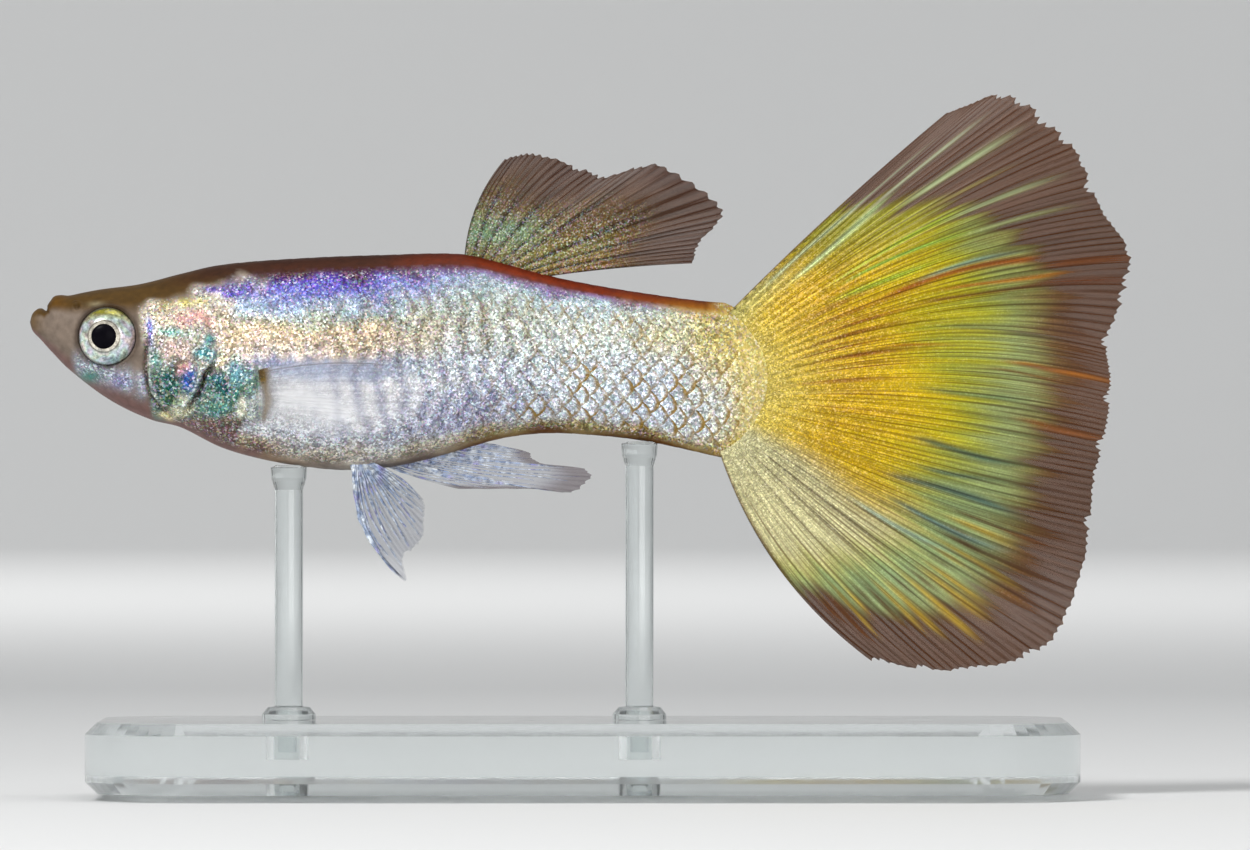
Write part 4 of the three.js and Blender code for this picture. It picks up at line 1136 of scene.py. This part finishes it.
def make_pelvic_fin(label, side, membrane, strands):
    def across(u, v):
        return side * (0.8 + 0.6 * v)

    fin = Fin(PELVIC_GUIDES, root_on(belly_at, 13.7, 0.8, ROOT_SINK), across, 0.06, 6)
    name = f"pelvic_fin_{label}"
    fin.make(name, 60, 40, pelvic_marks, membrane, "belly_fin_membrane", root_half=0.09)
    rays = [(0.01, 0.93, 0.15, 0), (0.1, 0.9, 0.16, 2.6), (0.15, 0.97, 0.13, 1.6)]
    rays += uneven_strands(np.linspace(0.22, 0.99, 14), (0.88, 0.1, 41), (0.11, 0.045, 67))
    fin.strands(f"{name}_rays", rays, strands, "belly_fin_membrane")


def make_pectoral_fin(label, side, membrane):
    def root(u):
        return 9.7 + 0.12 * u, -0.45 - 2.4 * u

    def across(u, v):
        return side * (flank_at(*root(u)) - 0.1 + 0.55 * rise(0.0, 0.08, v) + 1.55 * v)

    fin = Fin(PECTORAL_GUIDES, root, across, 0.03, 11)
    fin.make(
        f"pectoral_fin_{label}", 88, 40, pectoral_marks, membrane, "side_fin_membrane",
        root_half=0.08, margin_half=0.015, ridge_rise=0.03,
    )


# The eyes

def make_ball(segments, rings):
    """A ball of radius 1 with its poles to the left and right."""
    ball = bmesh.new()
    bmesh.ops.create_uvsphere(ball, u_segments=segments, v_segments=rings, radius=1)
    bmesh.ops.rotate(ball, verts=ball.verts, matrix=Matrix.Rotation(math.radians(90), 3, "X"))
    return ball


def make_eye(label, side, iris, pupil):
    """An eye: a ball with a broad flat front and a domed black pupil set a little forward."""
    eyeball = make_ball(72, 48)
    for vertex in eyeball.verts:
        x, y, z = vertex.co
        swell = math.copysign(math.sqrt(max(1 - math.hypot(x, z) ** 3, 0)), y)
        along, height = EYE_ALONG + x * EYE_RADIUS, EYE_HEIGHT + z * EYE_RADIUS
        across = side * EYE_ACROSS + swell * EYE_BULGE
        if y * side > 0:
            from_pupil = math.hypot(along - PUPIL_ALONG, height - EYE_HEIGHT)
            across += side * 0.02 * hump(0.72, 0.09, from_pupil)
        vertex.co = Vector(in_frame((along, across, height)))
    bmesh.ops.recalc_face_normals(eyeball, faces=eyeball.faces)
    name = f"eye_{label}_piece"
    add_piece(as_mesh(eyeball, name), name, iris, "eye", f"eye_{label}")
    dome = make_ball(48, 24)
    middle = side * (EYE_ACROSS + EYE_BULGE - 0.06)
    for vertex in dome.verts:
        x, y, z = vertex.co
        place = (PUPIL_ALONG + x * PUPIL_RADIUS, middle + y * PUPIL_DOME, EYE_HEIGHT + z * PUPIL_RADIUS)
        vertex.co = Vector(in_frame(place))
    name = f"pupil_{label}"
    add_piece(as_mesh(dome, name), name, pupil, "eye")


# The stand

def make_stand(finish):
    """The clear base keeps its solid; each rod is turned in one piece with a foot collar and a small cup."""
    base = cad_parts["stand_base"]
    base.data.materials.clear()
    base.data.materials.append(finish)
    floor_of_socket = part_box("stand_base")[1][2]
    for label in ("front", "rear"):
        node = f"stand_rod_{label}"
        low, high = (np.array(corner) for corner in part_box(node))
        radius = (high[0] - low[0]) / 2
        foot = [(1, 0.02), (1.9, 0.02), (1.9, 0.25), (1.5, 0.55), (1, 0.6)]
        cup = [(1, -0.7), (1.25, -0.2), (1.3, 0.25), (0.9, 0.35), (0, 0.35)]
        profile = [(0, low[2]), (radius, low[2])]
        profile += [(radius * share, floor_of_socket + up * MM) for share, up in foot]
        profile += [(radius * share, high[2] + up * MM) for share, up in cup]
        mesh = as_mesh(turned(profile, 32, (low[:2] + high[:2]) / 2), f"{node}_piece")
        add_piece(mesh, f"{node}_piece", finish, "clear_stand", node)
        shade_faces(mesh, smooth=False)


# The studio

PHOTO_WIDTH, PHOTO_HEIGHT = 1250, 850
PIXEL = 0.0425
PHOTO_JAW_TIP, PHOTO_AXIS = 30, 360
LENS, SENSOR = 400, 36
ROOM_RADIUS, ROOM_CURVE, ROOM_HEIGHT = 1.8, 0.6, 1.7
FLOOR = -0.0003
FISH_MIDDLE = (0, 0, 0.017)


def make_camera():
    """A long lens, level with the fish and square to its left side."""
    centre = in_frame((
        (PHOTO_WIDTH / 2 - PHOTO_JAW_TIP) * PIXEL, 0, (PHOTO_AXIS - PHOTO_HEIGHT / 2) * PIXEL,
    ))
    distance = PHOTO_WIDTH * PIXEL * MM * LENS / SENSOR
    data = bpy.data.cameras.new("camera")
    data.lens = LENS
    data.sensor_width = SENSOR
    data.clip_start = 0.01
    camera = link_object("camera", data)
    camera.location = (centre[0], centre[1] - distance, centre[2])
    camera.rotation_euler = (math.radians(90), 0, 0)
    bpy.context.scene.camera = camera


def add_light(name, place, size, power, aim=FISH_MIDDLE):
    data = bpy.data.lights.new(name, "AREA")
    data.shape = "DISK"
    data.size = size
    data.energy = power
    light = link_object(name, data)
    light.location = place
    light.rotation_euler = (Vector(aim) - Vector(place)).to_track_quat("-Z", "Y").to_euler()


def make_studio():
    """A round pale room whose floor curves up into its wall, and soft lights."""
    scene = bpy.context.scene
    scene.view_settings.view_transform = "Standard"
    world = bpy.data.worlds.new("studio")
    world.use_nodes = True
    world.node_tree.nodes["Background"].inputs[0].default_value = (0.9, 0.93, 0.96, 1)
    world.node_tree.nodes["Background"].inputs[1].default_value = 0.4
    scene.world = world
    curve_start = ROOM_RADIUS - ROOM_CURVE
    profile = [(0, FLOOR), (curve_start, FLOOR)]
    profile += [
        (curve_start + ROOM_CURVE * math.sin(turn), FLOOR + ROOM_CURVE - ROOM_CURVE * math.cos(turn))
        for turn in np.linspace(0.05, math.pi / 2, 24)
    ]
    room = turned(profile + [(ROOM_RADIUS, ROOM_HEIGHT)], 96)
    bmesh.ops.reverse_faces(room, faces=room.faces)
    mesh = as_mesh(room, "room")
    shade_faces(mesh)
    pale = Finish("pale_backdrop")
    mesh.materials.append(pale.done(Base_Color=(0.74, 0.74, 0.735, 1), Roughness=0.8))
    link_object("backdrop", mesh)
    add_light("key", (-0.2, -0.34, 0.36), 0.16, 2.1)
    add_light("fill", (0.2, -0.5, 0.06), 0.3, 0.9)
    add_light("top", (0.06, 0.02, 0.45), 0.3, 0.5)
    add_light("back", (-0.2, 0.5, 0.6), 0.3, 5.0, aim=(0, 1.8, 0.1))


make_camera()
make_studio()
make_skin(skin_finish("guppy_skin", False))
make_scales(skin_finish("guppy_scales", True))
make_tail_fin()
make_dorsal_fin()
belly_membrane = fin_finish("belly_fin_membrane", 24, 40, (0.4, 0.4, 0.5, 1), BELLY_FIN_GRAIN)
side_membrane = fin_finish("side_fin_membrane", 22, 44, (0.5, 0.5, 0.54, 1), BELLY_FIN_GRAIN, roughness=0.25)
silver_strands = ray_finish()
make_anal_fin(belly_membrane, silver_strands)
iris_finish = eye_finish()
pupil_black = pupil_finish()
for side_label, side_sign in (("left", -1), ("right", 1)):
    make_pelvic_fin(side_label, side_sign, belly_membrane, silver_strands)
    make_pectoral_fin(side_label, side_sign, side_membrane)
    make_eye(side_label, side_sign, iris_finish, pupil_black)
make_stand(acrylic_finish())
